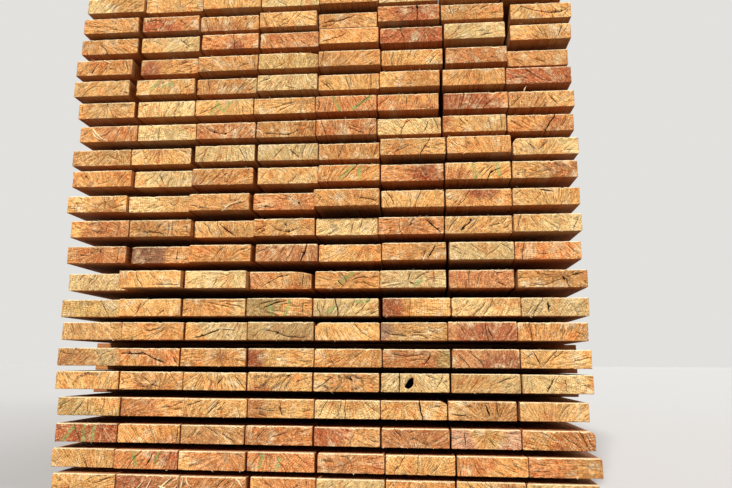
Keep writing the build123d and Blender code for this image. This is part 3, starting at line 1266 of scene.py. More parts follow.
    def build(self, patch: Patch) -> None:
        """Adds the piece to a mesh.

        Args:
            patch: The mesh.
        """
        number = self.look.checks
        if number is None:
            number = int(self.chance.integers(*DRYING.near_checks))
        near_cracks = self.cracking.placed()
        near_cracks += self.cracking.seeded(number, near_cracks)
        self.near_mouths = len(self.cracking.mouths)
        far_cracks = self.cracking.seeded(int(self.chance.integers(*DRYING.far_checks)), [])
        self.lay_ring()
        stations = [0.0, *self.fineness.stations]
        alongs = [*stations, *[self.length - s for s in reversed(stations)]]
        first = self.add_tube(patch, alongs)
        last = first + (len(alongs) - 1) * len(self.ring_mouths)
        CutEnd(self, self.near_ring, first, near_cracks, is_near=True).add_to(patch)
        CutEnd(self, self.far_ring, last, far_cracks, is_near=False).add_to(patch)
        if self.fineness.slivers:
            self.add_slivers(patch)

    def add_tube(self, patch: Patch, alongs: list[float]) -> int:
        """Adds the long faces of the piece.

        Args:
            patch: The mesh.
            alongs: How far along the piece each of its sections is.

        Returns:
            The index of the tube's first point.
        """
        chance = self.chance
        ring_size = len(self.ring_mouths)
        mouths = np.array(self.ring_mouths)
        near_mouth = (mouths >= 0) & (mouths < self.near_mouths)
        far_mouth = mouths >= self.near_mouths
        gape = np.array([self.cracking.mouths[mouth][2] if mouth >= 0 else 0.0 for mouth in mouths])
        rows, depths = [], []
        chips = self.chips(ring_size)
        for index, along in enumerate(alongs):
            near_end = index < len(alongs) / 2
            rank = index if near_end else len(alongs) - 1 - index
            inward = np.abs(chance.normal(0, self.roughness[min(rank, len(self.roughness) - 1)], ring_size))
            if rank == 0:
                inward += self.inset
            if rank < 2:
                inward += chips * self.chip_depth * (1 - self.chip_fade * rank)
            if rank == 2:
                chips = self.chips(ring_size)
            back = np.zeros(ring_size)
            if rank < 3:
                is_mouth = near_mouth if near_end else far_mouth
                inward[is_mouth] += gape[is_mouth] * self.mouth_dips[rank]
                back[is_mouth] = gape[is_mouth] * self.mouth_setbacks[rank]
            if rank == 0:
                back += np.abs(chance.normal(0, self.setback, ring_size)) + chips * self.chip_setback
            ring = self.ring(along, inward)
            if index == 0:
                self.near_ring = ring
            if index == len(alongs) - 1:
                self.far_ring = ring
            rows.append(ring)
            depths.append(along + back if near_end else along - back)
        section = np.concatenate(rows)
        along_all = np.concatenate(depths)
        count = len(alongs)
        # Pale worn edges at each end, strongest on top, where they are also a painted highlight.
        arris = np.zeros((count, ring_size))
        fade = [*self.edge_fade, *reversed(self.edge_fade)]
        arris[[0, 1, -2, -1]] = np.outer(fade, np.array(self.edge_wear_and_highlight)[self.ring_edges])
        # A painted highlight on the top face just behind each end.
        arris[[2, -3]] = np.where(np.array(self.ring_edges) == 2, self.top_painted_highlight, 0.0)
        end = np.zeros((count, ring_size))
        end[[0, -1]] = 1
        # Painted shade in the crack mouths near each end.
        hollow_shade = np.zeros((count, ring_size))
        shades = np.array(self.mouth_painted_shades)[:, None]
        hollow_shade[:3, near_mouth] = shades
        hollow_shade[-3:, far_mouth] = shades[::-1]
        first = patch.add(self.bed.place(section[:, 0], section[:, 1], along_all),
                          self.values(section, along_all, end.ravel(), arris.ravel(), hollow_shade.ravel()))
        triangles, corners = self.tube_faces(first, ring_size, alongs)
        flat = np.zeros(len(triangles))
        patch.face(triangles, corners, flat, flat)
        return first

    def chips(self, ring_size: int) -> Point:
        """Chips some points of an end's rim: how large each one's chip is, from 0 to 1."""
        is_chipped = self.chance.random(ring_size) < self.chip_chance
        return np.where(is_chipped, self.chance.uniform(*self.chip_size, ring_size), 0)

    def tube_faces(self, first: int, ring_size: int, alongs: list[float]) -> tuple[Point, Point]:
        """The triangles of the long faces, and their places on the map.

        Args:
            first: The index of the tube's first point.
            ring_size: How many points a ring has.
            alongs: How far along the piece each ring is.

        Returns:
            The triangles, and three map places for each.
        """
        ring = self.ring(self.length / 2, np.zeros(ring_size))
        steps = np.linalg.norm(np.roll(ring, -1, axis=0) - ring, axis=1)
        around = np.concatenate([[0], np.cumsum(steps)]) / steps.sum()
        low_u, low_v, high_u, high_v = self.atlas.strip
        map_u = low_u + np.array(alongs) / self.length * (high_u - low_u)
        map_v = low_v + around * (high_v - low_v)
        station, place = np.meshgrid(np.arange(len(alongs) - 1), np.arange(ring_size), indexing="ij")
        station, place = station.ravel(), place.ravel()
        after = (place + 1) % ring_size
        a, b = first + station * ring_size + place, first + station * ring_size + after
        c, d = b + ring_size, a + ring_size
        uv_a, uv_b, uv_c, uv_d = (np.stack([map_u[station + further], map_v[place + higher]], 1)
                                  for further, higher in ((0, 0), (0, 1), (1, 1), (1, 0)))
        triangles = np.concatenate([np.stack([a, c, b], 1), np.stack([a, d, c], 1)])
        corners = np.concatenate([np.stack([uv_a, uv_c, uv_b], 1), np.stack([uv_a, uv_d, uv_c], 1)])
        return triangles, corners

    def values(self, section: Point, along: Point, end: Point, arris: Point, hollow_shade: Point) -> dict[str, Point]:
        """The values that the finish reads at some points.

        Args:
            section: Where the points are in the section.
            along: How far along the piece they are.
            end: 1 on a cut end.
            arris: How pale a worn edge is, from 0 to 1; the top edges get most, as a painted highlight.
            hollow_shade: Painted shade, 1 at the bottom of a crack or in the knot hole.

        Returns:
            The values by name.
        """
        count = len(section)
        grain = np.stack([section[:, 0] - self.pith[0], along + self.offset, section[:, 1] - self.pith[1]], 1)
        return {
            "grain": grain,
            "sap": np.tile(self.sap, (count, 1)),
            "heart": np.tile(self.heart, (count, 1)),
            # The cut-end flag, edge wear with a painted highlight on top, and painted shade in cracks.
            "wear": np.stack([end, arris, hollow_shade], 1),
            "log": np.tile([self.heart_radius, self.stain, self.streaks], (count, 1)),
            "rings": np.tile([self.reach, self.ring_spacing, self.first_ring], (count, 1)),
        }

    def add_slivers(self, patch: Patch) -> None:
        """Adds the pale slivers that hang on the near end: the placed ones, and short fibres on its rim.

        Args:
            patch: The mesh.
        """
        chance = self.chance
        for sliver in self.look.slivers:
            start, end = (np.array(at) * (self.width, self.thickness) for at in (sliver.start, sliver.end))
            self.add_sliver(patch, start, end, sliver.width, chance.uniform(*FIBRES.placed_lift))
        for _ in range(int(chance.integers(*FIBRES.number))):
            top = chance.random() < FIBRES.top_odds
            root = self.thickness - FIBRES.rooted if top else FIBRES.rooted
            start = np.array([chance.uniform(*FIBRES.across) * self.width, root])
            length = FIBRES.least_length + FIBRES.more_length * chance.random() ** 2
            angle = chance.uniform(*(FIBRES.top_angles if top else FIBRES.low_angles)) * math.pi
            end = start + length * np.array([math.cos(angle), math.sin(angle) * FIBRES.flatness])
            self.add_sliver(patch, start, end, chance.uniform(*FIBRES.width), chance.uniform(*FIBRES.lift))

    def add_sliver(self, patch: Patch, start: Point, end: Point, width: float, lift: float) -> None:
        """Adds one sliver: a thin wedge, rooted in the end at its start.

        Args:
            patch: The mesh.
            start: Its root in the section.
            end: Its tip in the section.
            width: Its greatest width.
            lift: How far its tip stands out of the end.
        """
        run = end - start
        side = np.array([-run[1], run[0]]) / max(float(np.linalg.norm(run)), 1e-6) * width / 2
        shares, sizes = np.array(FIBRES.shares), FIBRES.sizes
        bend = np.sin(shares * math.pi) * self.chance.normal(0, width)
        spine = start + shares[:, None] * run + bend[:, None] * side / (width / 2)
        section, along = [], []
        for share, size, place in zip(shares, sizes, spine):
            front = FIBRES.sunk - FIBRES.rise * min(1, share * 3) - lift * share
            section += [place - side * size, place + side * size, place]
            along += [front, front, front - width * FIBRES.ridge * size]
        for at, size in enumerate(sizes):
            section.append(spine[at])
            along.append(along[3 * at] + width * FIBRES.belly * size)
        places, depths = np.array(section), np.array(along)
        count = len(places)
        values = self.values(places, depths, np.zeros(count), np.full(count, FIBRES.wear), np.zeros(count))
        first = patch.add(self.bed.place(places[:, 0], places[:, 1], depths), values)
        triangles = []
        for at in range(len(sizes) - 1):
            left, right, ridge = (first + 3 * at + corner for corner in range(3))
            back = first + 3 * len(sizes) + at
            for one, two in ((left, ridge), (ridge, right)):
                triangles += [(one, one + 3, two), (two, one + 3, two + 3)]
            triangles += [(right, right + 3, back), (back, right + 3, back + 1),
                          (back, back + 1, left), (left, back + 1, left + 3)]
        faces = np.array(triangles)
        low_u, low_v = self.atlas.near[:2]
        corners = np.tile(np.array([low_u, low_v]), (len(faces), 3, 1)) + places[faces - first] * 0.2
        flat = np.zeros(len(faces))
        patch.face(faces, corners, flat, flat)


class Graph:
    """A material's nodes, with short calls for those that a wood finish needs."""

    COLUMNS = 12

    def __init__(self, name: str) -> None:
        """Starts a material with its shader and nothing else.

        Args:
            name: The material's name.
        """
        self.material = bpy.data.materials.new(name)
        self.material.use_nodes = True
        self.tree = self.material.node_tree
        self.shader = self.tree.nodes["Principled BSDF"]
        self.count = 0

    def node(self, kind: str, inputs: dict[int | str, object], **settings: object) -> bpy.types.Node:
        """Adds a node.

        Args:
            kind: Its type.
            inputs: For an input's number or name, the socket to link or the value to set.
            settings: Its properties by name.

        Returns:
            The node.
        """
        made = self.tree.nodes.new(kind)
        self.count += 1
        made.location = (-180 * (self.count % self.COLUMNS) - 300, -220 * (self.count // self.COLUMNS))
        for name, value in settings.items():
            setattr(made, name, value)
        for key, value in inputs.items():
            self.feed(made.inputs[key], value)
        return made

    def feed(self, socket: Socket, value: object) -> None:
        """Links a socket to another, or sets it to a number or colour.

        Args:
            socket: The socket.
            value: The other socket, number or colour.
        """
        if isinstance(value, Socket):
            self.tree.links.new(value, socket)
        else:
            socket.default_value = value

    def attribute(self, name: str) -> bpy.types.Node:
        """Reads a value that the mesh holds."""
        return self.node("ShaderNodeAttribute", {}, attribute_name=name)

    def maths(self, operation: str, *values: object, clamp: bool = False) -> Socket:
        """Works out a number from one, two or three others."""
        inputs = dict(enumerate(values))
        return self.node("ShaderNodeMath", inputs, operation=operation, use_clamp=clamp).outputs[0]

    def plus(self, first: object, second: object) -> Socket:
        """The sum of two numbers."""
        return self.maths("ADD", first, second)

    def times(self, first: object, second: object) -> Socket:
        """The product of two numbers."""
        return self.maths("MULTIPLY", first, second)

    def length(self, vector: object) -> Socket:
        """How long a vector is."""
        return self.node("ShaderNodeVectorMath", {0: vector}, operation="LENGTH").outputs["Value"]

    def sum(self, first: object, second: object) -> Socket:
        """The sum of two vectors."""
        return self.node("ShaderNodeVectorMath", {0: first, 1: second}, operation="ADD").outputs[0]

    def scaled(self, vector: object, factor: object) -> Socket:
        """Makes a vector longer or shorter."""
        inputs = {0: vector, "Scale": factor}
        return self.node("ShaderNodeVectorMath", inputs, operation="SCALE").outputs[0]

    def split(self, vector: object) -> tuple[Socket, ...]:
        """Takes a vector apart."""
        return tuple(self.node("ShaderNodeSeparateXYZ", {0: vector}).outputs)

    def join(self, x: object, y: object, z: object) -> Socket:
        """Puts a vector together."""
        return self.node("ShaderNodeCombineXYZ", {0: x, 1: y, 2: z}).outputs[0]

    def noise(self, vector: object, scale: float, detail: float = 2.0, roughness: float = 0.5,
              distortion: float = 0.0) -> Socket:
        """Reads smooth noise, from 0 to 1."""
        shape = {"Scale": scale, "Detail": detail, "Roughness": roughness, "Distortion": distortion}
        return self.node("ShaderNodeTexNoise", {"Vector": vector, **shape}).outputs["Fac"]

    def spread(self, value: object, low: float, high: float, to_low: float = 0.0,
               to_high: float = 1.0) -> Socket:
        """Maps a number smoothly from one range to another, and holds it there."""
        inputs = dict(enumerate((value, low, high, to_low, to_high)))
        return self.node("ShaderNodeMapRange", inputs, interpolation_type="SMOOTHSTEP").outputs[0]

    def mix(self, factor: object, first: object, second: object, blend: str = "MIX") -> Socket:
        """Mixes two colours."""
        settings = {"data_type": "RGBA", "blend_type": blend, "clamp_factor": True}
        return self.node("ShaderNodeMix", {0: factor, 6: first, 7: second}, **settings).outputs[2]

    def bump(self, height: object, strength: float, distance: float) -> Socket:
        """Turns a height into a normal."""
        inputs = {"Strength": strength, "Distance": distance, "Height": height}
        return self.node("ShaderNodeBump", inputs).outputs[0]


class Grain:
    """What the mesh says of each point of the wood, and the noises that follow its grain."""

    def __init__(self, graph: Graph, wood: SawnWood) -> None:
        """Reads the mesh's values and works out the noises.

        Args:
            graph: The material's nodes.
            wood: The finish, which holds the noises' scales.
        """
        g = self.graph = graph
        self.place = g.attribute("grain").outputs["Vector"]
        self.x, self.y, self.z = g.split(self.place)
        # The cut-end flag, edge wear with a painted highlight on top, and painted shade in cracks.
        self.end, self.arris, self.hollow_shade = g.split(g.attribute("wear").outputs["Vector"])
        self.heart_radius, self.stain, self.streaks = g.split(g.attribute("log").outputs["Vector"])
        self.reach, self.spacing, self.first_ring = g.split(g.attribute("rings").outputs["Vector"])
        self.outward = g.join(self.x, 0.0, self.z)
        self.radius = g.length(self.outward)
        self.warp = g.maths("SUBTRACT", self.stretched(wood.warp, 2.0), 0.5)
        self.blotches = self.stretched(wood.blotches, 3.0)
        self.patches = self.stretched(wood.patches, 2.0)
        self.fibres = self.stretched(wood.fibres, 3.0)
        self.weather = self.stretched(wood.weather, 4.0)
        self.speckle = g.noise(g.scaled(self.place, wood.speckle), 1.0, 3.0, 0.65)
        self.dust = g.noise(g.scaled(self.place, wood.dust), 1.0, 2.0, 0.6)

    def stretched(self, scales: Triple, detail: float, roughness: float = 0.6) -> Socket:
        """Makes a noise that is drawn out along the grain.

        Args:
            scales: Its scales along X, Y and Z.
            detail: How many finer noises it has.
            roughness: How strong those are.

        Returns:
            The noise, from 0 to 1.
        """
        g = self.graph
        x, y, z = (g.times(part, scale) for part, scale in zip((self.x, self.y, self.z), scales))
        return g.noise(g.join(x, y, z), 1.0, detail, roughness)


@dataclass(frozen=True)
class SawnWood:
    """The finish of dried, rough-sawn softwood. Tones are 8-bit sRGB, lengths metres, scales per metre."""

    name: str = "sawn_wood"
    warp: Triple = (14.0, 1.1, 14.0)
    blotches: Triple = (30.0, 2.0, 30.0)
    patches: Triple = (75.0, 8.0, 75.0)
    fibres: Triple = (330.0, 7.0, 330.0)
    weather: Triple = (8.0, 1.2, 8.0)
    flank_saw: Triple = (60.0, 240.0, 520.0)
    end_saw: Triple = (90.0, 90.0, 700.0)
    speckle: float = 270.0
    dust: float = 720.0
    ring_wander: float = 0.022
    ring_drift: float = 0.007
    heart_wander: float = 0.05
    late_share: float = 0.36
    check_spacing: float = 0.0056
    check_turn: float = 13.0
    check_width: float = 0.026
    check_share: float = 0.85
    fine_check_width: float = 0.05
    fine_check_share: float = 0.6
    # The colour of the painted shade in cracks and the knot hole.
    crack_shade_tone: Colour = (48, 24, 14)
    check_tone: Colour = (66, 30, 14)
    late_tone: Colour = (210, 134, 56)
    blush_tone: Colour = (244, 178, 124)
    # Pale wood, also the colour of the painted highlight on top edges.
    pale_and_highlight_tone: Colour = (255, 232, 183)
    stain_tone: Colour = (150, 114, 88)
    # Darker long faces: partly weathered wood, partly painted shade for the gaps between layers.
    flank_weather_and_shade_tone: Colour = (160, 102, 56)
    grey_tone: Colour = (186, 160, 128)
    green_crayon: Colour = (124, 176, 98)
    black_crayon: Colour = (58, 48, 42)
    roughness: float = 0.82
    gloss: float = 0.25
    relief: float = 0.8
    relief_depth: float = 0.0017

    def make(self) -> bpy.types.Material:
        """Builds the material.

        Returns:
            The material.
        """
        g = Graph(self.name)
        grain = Grain(g, self)
        late = self.late_wood(grain)
        rays, check, fine_check = self.checks(grain)
        base = self.heart_and_sap(grain)
        colour = g.mix(grain.end, self.flank(grain, base), self.cut_end(grain, base, rays))
        colour = g.mix(g.times(late, self.late_share), colour, self.tinted(g, colour, self.late_tone))
        for line in (fine_check, check):
            colour = g.mix(g.times(line, self.check_share), colour, linear(*self.check_tone))
        g.feed(g.shader.inputs["Base Color"], self.crayoned(grain, self.weathered(grain, colour)))
        end_saw = g.times(grain.stretched(self.end_saw, 2.0, 0.5), grain.end)
        flank_saw = grain.stretched(self.flank_saw, 2.0, 0.5)
        height = self.total(g, (grain.speckle, 0.8), (grain.dust, 0.3), (grain.fibres, 0.5), (end_saw, 0.7),
                            (flank_saw, 0.5), (late, 0.25), (g.maths("MAXIMUM", check, fine_check), -1.2))
        g.feed(g.shader.inputs["Normal"], g.bump(height, self.relief, self.relief_depth))
        rough = g.spread(grain.speckle, 0.2, 0.8, self.roughness - 0.08, self.roughness + 0.1)
        g.feed(g.shader.inputs["Roughness"], rough)
        g.shader.inputs["Specular IOR Level"].default_value = self.gloss
        return g.material

    def late_wood(self, grain: Grain) -> Socket:
        """Finds the dark part of each growth ring.

        Args:
            grain: The wood's grain.

        Returns:
            1 in the dark part, and 0 outside it.
        """
        g = grain.graph
        bent = g.plus(grain.radius, g.times(grain.warp, self.ring_wander))
        bent = g.plus(bent, g.times(grain.y, self.ring_drift))
        phase = g.maths("FRACT", g.plus(g.maths("DIVIDE", bent, grain.spacing), grain.first_ring))
        return g.times(g.spread(phase, 0.3, 0.86), g.spread(phase, 1.0, 0.93))

    def checks(self, grain: Grain) -> tuple[Socket, ...]:
        """Finds the hair checks, which run outward from the pith.

        Args:
            grain: The wood's grain.

        Returns:
            The noise that fans out from the pith, then 1 on a check, and 1 on a finer one.
        """
        g = grain.graph
        spoke = g.scaled(grain.outward, g.maths("DIVIDE", 1.0, g.maths("MAXIMUM", grain.radius, 0.0005)))
        turns = g.scaled(spoke, g.maths("DIVIDE", grain.reach, self.check_spacing))
        fan = g.sum(turns, g.scaled(grain.place, self.check_turn))
        rays = g.noise(fan, 1.0, 1.5, 0.55, 0.1)
        fine_rays = g.noise(fan, 2.6, 2.0, 0.6, 0.15)
        check = g.times(self.line(g, rays, self.check_width), g.spread(grain.patches, 0.47, 0.55))
        check = g.times(g.times(check, grain.streaks), grain.end)
        fine_check = self.line(g, fine_rays, self.fine_check_width)
        fine_check = g.times(fine_check, g.spread(grain.patches, 0.62, 0.46))
        fine_check = g.times(g.times(fine_check, self.fine_check_share), grain.end)
        return rays, check, fine_check

    def heart_and_sap(self, grain: Grain) -> Socket:
        """Colours the wood by its place in the log, with soft blotches.

        Args:
            grain: The wood's grain.

        Returns:
            The colour.
        """
        g = grain.graph
        edge = g.plus(grain.heart_radius, g.times(grain.warp, self.heart_wander))
        is_heart = g.spread(g.maths("SUBTRACT", edge, grain.radius), -0.008, 0.012)
        base = g.mix(is_heart, g.attribute("sap").outputs["Color"], g.attribute("heart").outputs["Color"])
        blush = g.spread(grain.blotches, 0.5, 0.72, 0.0, 0.6)
        base = g.mix(blush, base, self.tinted(g, base, self.blush_tone))
        return g.mix(g.spread(grain.blotches, 0.48, 0.28, 0.0, 0.75), base, linear(*self.pale_and_highlight_tone))

    def cut_end(self, grain: Grain, base: object, rays: object) -> Socket:
        """Colours the cut ends, whose torn fibres are darker and paler.

        Args:
            grain: The wood's grain.
            base: The wood's colour.
            rays: The noise that fans out from the pith.

        Returns:
            The colour.
        """
        g = grain.graph
        dark, pale = self.tinted(g, base, self.late_tone), linear(*self.pale_and_highlight_tone)
        colour = g.mix(g.spread(rays, 0.52, 0.72, 0.0, 0.25), base, dark)
        colour = g.mix(g.spread(rays, 0.5, 0.3, 0.0, 0.2), colour, pale)
        colour = g.mix(g.spread(grain.speckle, 0.52, 0.68, 0.0, 0.75), colour, dark)
        return g.mix(g.spread(grain.speckle, 0.48, 0.3, 0.0, 0.6), colour, pale)

    def flank(self, grain: Grain, base: object) -> Socket:
        """Colours the long faces, which are darker, partly from weather and partly as painted shade for the
        gaps between layers, and are streaked and greyed by the weather.

        Args:
            grain: The wood's grain.
            base: The wood's colour.

        Returns:
            The colour.
        """
        g = grain.graph
        # Darker long faces: partly weathering, partly painted shade in the gaps between layers.
        colour = g.mix(0.75, base, linear(*self.flank_weather_and_shade_tone))
        streak = g.spread(grain.fibres, 0.42, 0.72, 0.0, 0.7)
        colour = g.mix(streak, colour, self.tinted(g, colour, self.late_tone))
        return g.mix(g.spread(grain.weather, 0.5, 0.78, 0.0, 0.5), colour, linear(*self.grey_tone))

    def weathered(self, grain: Grain, colour: object) -> Socket:
        """Adds stains, the pale fibres of worn edges with a painted highlight on top edges, and the painted
        shade of cracks and the knot hole.

        Args:
            grain: The wood's grain.
            colour: The wood's colour.

        Returns:
            The colour with those.
        """
        g = grain.graph
        grime = self.total(g, (grain.blotches, 0.5), (grain.speckle, 0.5))
        stained = g.maths("MULTIPLY", g.spread(grime, 0.36, 0.6), g.times(grain.stain, grain.end), clamp=True)
        colour = g.mix(stained, colour, linear(*self.stain_tone))
        frayed = g.spread(grain.dust, 0.34, 0.5, 0.35, 1.0)
        # Worn edges turn pale; on the top edges this is also a painted highlight.
        wear_and_highlight = g.maths("MULTIPLY", g.spread(grain.arris, 0.3, 0.9), frayed, clamp=True)
        colour = g.mix(wear_and_highlight, colour, linear(*self.pale_and_highlight_tone))
        # Painted shade at the bottoms of cracks and in the knot hole.
        return g.mix(g.spread(grain.hollow_shade, 0.02, 0.3), colour, linear(*self.crack_shade_tone))

    def crayoned(self, grain: Grain, colour: object) -> Socket:
        """Draws the crayon lines, broken where the wood is low.

        Args:
            grain: The wood's grain.
            colour: The wood's colour.

        Returns:
            The colour with those.
        """
        g = grain.graph
        mark = g.attribute("crayon").outputs["Fac"]
        touched = g.spread(grain.speckle, 0.56, 0.42, 0.12, 0.85)
        waxed = g.times(g.maths("GREATER_THAN", mark, 0.5), touched)
        is_black = g.maths("GREATER_THAN", mark, 1.5)
        wax = g.mix(is_black, linear(*self.green_crayon), linear(*self.black_crayon))
        return g.mix(waxed, colour, wax)

    @staticmethod
    def line(g: Graph, noise: object, width: float) -> Socket:
        """Thin lines, where a noise passes its middle value."""
        return g.spread(g.maths("ABSOLUTE", g.maths("SUBTRACT", noise, 0.5)), width, width * 0.25)

    @staticmethod
    def tinted(g: Graph, colour: object, tone: Colour) -> Socket:
        """A colour darkened by another."""
        return g.mix(1.0, colour, linear(*tone), "MULTIPLY")

    @staticmethod
    def total(g: Graph, *parts: tuple[object, float]) -> Socket:
        """Adds up some values.

        Args:
            g: The material's nodes.
            parts: Each value with its weight.

        Returns:
            The weighted sum.
        """
        summed: object = 0.0
        for value, weight in parts:
            summed = g.maths("MULTIPLY_ADD", value, weight, summed)
        return summed


def solid_boxes(node: str, weld: float = 1e-5) -> list[tuple[Point, Point]]:
    """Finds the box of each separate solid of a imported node.

    Args:
        node: The node's name.
        weld: How close two corners are that count as one.

    Returns:
        The lowest and highest corner of each.
    """
    shape = bmesh.new()
    shape.from_mesh(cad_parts[node].data)
    bmesh.ops.remove_doubles(shape, verts=shape.verts, dist=weld)
    shape.verts.ensure_lookup_table()
    seen: set[int] = set()
    boxes = []
    for seed in shape.verts:
        if seed.index in seen:
            continue
        seen.add(seed.index)
        group, queue = [], [seed]
        while queue:
            vertex = queue.pop()
            group.append(vertex.co[:])
            for edge in vertex.link_edges:
                other = edge.other_vert(vertex)
                if other.index not in seen:
                    seen.add(other.index)
                    queue.append(other)
        corners = np.array(group)
        boxes.append((corners.min(0), corners.max(0)))
    shape.free()
    return boxes


@dataclass(frozen=True)
class BoardLayer:
    """One layer of boards, as one piece. On its map, each board has two cells for its ends and a strip."""

    node: str
    layer: int
    finish: bpy.types.Material
    near_columns: int = 3
    near_share: float = 0.093
    far_columns: int = 4
    far_share: float = 0.07
    gap: float = 0.003

    def atlas(self, number: int, count: int) -> Atlas:
        """Shares out the map.

        Args:
            number: The board's number.
            count: How many boards the layer has.

        Returns:
            The board's share.
        """
        base, cells = 0.0, []
        for columns, share in ((self.near_columns, self.near_share), (self.far_columns, self.far_share)):
            row, column = divmod(number, columns)
            cells.append((column / columns + self.gap, base + row * share + self.gap,
                          (column + 1) / columns - self.gap, base + (row + 1) * share - self.gap))
            base += math.ceil(count / columns) * share
        height = (1 - base) / count
        low = base + number * height
        return Atlas(cells[0], cells[1], (self.gap, low + self.gap, 1 - self.gap, low + height - self.gap))

    def build(self) -> bpy.types.Object:
        """Makes the layer and dresses it.

        Returns:
            The finished piece.
        """
        boxes = sorted(solid_boxes(self.node), key=lambda box: box[0][0])
        patch = Patch()
        for number, (low, high) in enumerate(boxes):
            chance = np.random.default_rng([SEED, self.layer, number])
            bed = Bed(low, across=RIGHTWARD, up=UPWARD, along=BACKWARD)
            length, width, thickness = high[1] - low[1], high[0] - low[0], high[2] - low[2]
            look = LOOKS.get((self.layer, number), Look())
            atlas = self.atlas(number, len(boxes))
            SawnPiece(bed, (width, thickness, length), look, BOARD, atlas, chance).build(patch)
        piece = patch.make("sawn_" + self.node)
        piece.data.materials.append(self.finish)
        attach(piece, "root")
        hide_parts(self.node)
        return piece


@dataclass(frozen=True)
class StickRow:
    """The sticks at one place along the boards, one in each gap, as one piece."""

    node: str
    finish: bpy.types.Material
    seed: int = 100
    end_share: float = 0.1
    gap: float = 0.004

    def atlas(self, number: int, count: int) -> Atlas:
        """Shares out the map.

        Args:
            number: The stick's number.
            count: How many sticks the row has.

        Returns:
            The stick's share.
        """
        height = 1 / count
        low, high = number * height + self.gap, number * height + height - self.gap
        return Atlas((self.gap, low, self.end_share - self.gap, high),
                     (self.end_share, low, 2 * self.end_share - self.gap, high),
                     (2 * self.end_share, low, 1 - self.gap, high))

    def build(self) -> bpy.types.Object:
        """Makes the row and dresses it.

        Returns:
            The finished piece.
        """
        boxes = sorted(solid_boxes(self.node), key=lambda box: box[0][2])
        patch = Patch()
        for number, (low, high) in enumerate(boxes):
            chance = np.random.default_rng([SEED, self.seed, int(self.node[-1]), number])
            corner = np.array([low[0], high[1], low[2]])
            bed = Bed(corner, across=-BACKWARD, up=UPWARD, along=RIGHTWARD)
            length, width, thickness = high[0] - low[0], high[1] - low[1], high[2] - low[2]
            look = Look(checks=int(chance.integers(0, 3)))
            atlas = self.atlas(number, len(boxes))
            SawnPiece(bed, (width, thickness, length), look, STICK, atlas, chance).build(patch)
        piece = patch.make("sawn_" + self.node)
        piece.data.materials.append(self.finish)
        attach(piece, "root")
        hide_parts(self.node)
        return piece


@dataclass(frozen=True)
class Lamp:
    """A far-off soft lamp: where it stands, its strength and the angle that it fills, in degrees."""

    place: Triple
    strength: float
    spread: float


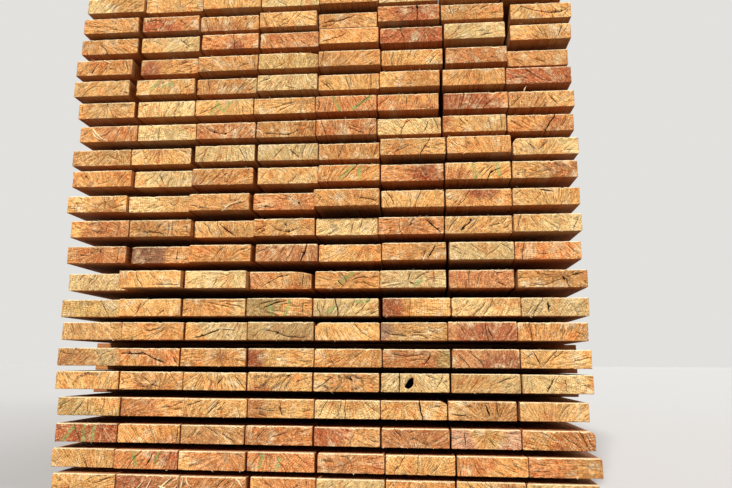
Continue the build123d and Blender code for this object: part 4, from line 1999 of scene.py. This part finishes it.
@dataclass(frozen=True)
class Studio:
    """The pale floor, the backdrop, the lamps and the camera."""

    floor_tone: Colour = (180, 178, 175)
    bounce_tone: Colour = (84, 80, 76)
    backdrop_tone: Colour = (226, 225, 222)
    glow_tone: Colour = (236, 237, 240)
    glow: float = 0.13
    sensor: float = 36.0
    focal_pixels: float = 626.1
    image_width: int = 732
    camera_across: float = 0.248
    camera_back: float = 1.407
    camera_below_top: float = 0.922
    yaw: float = -5.24
    pitch: float = 10.88
    roll: float = 0.36
    front: float = -1.5
    key: Lamp = Lamp((-1.2, -4.8, 4.2), 4.8, 8.0)
    back: Lamp = Lamp((1.6, 4.2, 3.2), 1.4, 30.0)
    side: Lamp = Lamp((4.6, -0.6, 2.4), 1.3, 40.0)
    floor_reach: float = 240.0
    sight: float = 300.0

    def build(self) -> None:
        """Makes the floor, the lamps, the world and the camera."""
        self.floor()
        self.hang("key", self.key)
        self.hang("back", self.back)
        self.hang("side", self.side)
        self.world()
        self.camera()

    def floor(self) -> None:
        """Makes the floor, which runs out to the horizon."""
        reach = self.floor_reach
        mesh = bpy.data.meshes.new("floor")
        mesh.from_pydata([(-reach, -reach, 0), (reach, -reach, 0), (reach, reach, 0), (-reach, reach, 0)], [],
                         [(0, 1, 2, 3)])
        plane = bpy.data.objects.new("floor", mesh)
        bpy.context.scene.collection.objects.link(plane)
        g = Graph("floor_paint")
        paint = g.mix(self.seen(g.tree), linear(*self.bounce_tone), linear(*self.floor_tone))
        g.feed(g.shader.inputs["Base Color"], paint)
        g.shader.inputs["Roughness"].default_value = 0.9
        mesh.materials.append(g.material)

    def hang(self, name: str, lamp: Lamp) -> None:
        """Hangs a lamp, which shines at the middle of the floor.

        Args:
            name: Its name.
            lamp: The lamp.
        """
        data = bpy.data.lights.new(name, "SUN")
        data.energy = lamp.strength
        data.angle = math.radians(lamp.spread)
        hung = bpy.data.objects.new(name, data)
        hung.location = lamp.place
        hung.rotation_euler = Vector(lamp.place).to_track_quat("Z", "Y").to_euler()
        bpy.context.scene.collection.objects.link(hung)

    @staticmethod
    def seen(tree: bpy.types.NodeTree) -> Socket:
        """Tells the rays that show a surface from those that only carry its light.

        Args:
            tree: The nodes to add to.

        Returns:
            1 for a ray from the camera, a mirror or a pane, and 0 for any other.
        """
        path = tree.nodes.new("ShaderNodeLightPath")
        found = path.outputs["Is Camera Ray"]
        for kind in ("Is Glossy Ray", "Is Transmission Ray"):
            either = tree.nodes.new("ShaderNodeMath")
            either.operation = "MAXIMUM"
            tree.links.new(found, either.inputs[0])
            tree.links.new(path.outputs[kind], either.inputs[1])
            found = either.outputs[0]
        return found

    def world(self) -> None:
        """Lights the scene evenly from all around."""
        world = bpy.data.worlds.new("studio")
        world.use_nodes = True
        nodes, links = world.node_tree.nodes, world.node_tree.links
        glow = nodes["Background"]
        glow.inputs["Color"].default_value = linear(*self.glow_tone)
        glow.inputs["Strength"].default_value = self.glow
        backdrop = nodes.new("ShaderNodeBackground")
        backdrop.inputs["Color"].default_value = linear(*self.backdrop_tone)
        choice = nodes.new("ShaderNodeMixShader")
        links.new(self.seen(world.node_tree), choice.inputs[0])
        links.new(glow.outputs[0], choice.inputs[1])
        links.new(backdrop.outputs[0], choice.inputs[2])
        links.new(choice.outputs[0], nodes["World Output"].inputs["Surface"])
        bpy.context.scene.world = world

    def camera(self) -> None:
        """Sets the camera where the reference view has it."""
        data = bpy.data.cameras.new("camera")
        data.sensor_width = self.sensor
        data.lens = self.focal_pixels / self.image_width * self.sensor
        data.clip_end = self.sight
        camera = bpy.data.objects.new("camera", data)
        yaw, pitch, roll = (math.radians(angle) for angle in (self.yaw, self.pitch, self.roll))
        ahead = Vector((math.sin(yaw) * math.cos(pitch), math.cos(yaw) * math.cos(pitch), math.sin(pitch)))
        right = Vector((math.cos(yaw), -math.sin(yaw), 0))
        up = right.cross(ahead)
        turned_right = right * math.cos(roll) + up * math.sin(roll)
        turned_up = up * math.cos(roll) - right * math.sin(roll)
        turn = Matrix((turned_right, turned_up, -ahead)).transposed()
        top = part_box("board_layer_21")[1].z
        place = Vector((self.camera_across, self.front - self.camera_back, top - self.camera_below_top))
        camera.matrix_world = Matrix.Translation(place) @ turn.to_4x4()
        bpy.context.scene.collection.objects.link(camera)
        bpy.context.scene.camera = camera


def main() -> None:
    """Builds every piece in order."""
    logging.basicConfig(level=logging.INFO, format="%(name)s %(message)s")
    bpy.context.scene.view_settings.view_transform = "Standard"
    Studio().build()
    finish = SawnWood().make()
    nodes = sorted(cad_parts)
    layers = [node for node in nodes if node.startswith("board_layer")]
    parts = [BoardLayer(node, layer, finish) for layer, node in enumerate(reversed(layers))]
    parts += [StickRow(node, finish) for node in nodes if node.startswith("stick_row")]
    for part in parts:
        piece = part.build()
        log.info("%s: %d triangles", piece.name, len(piece.data.polygons))


if __name__ == "__main__":
    main()
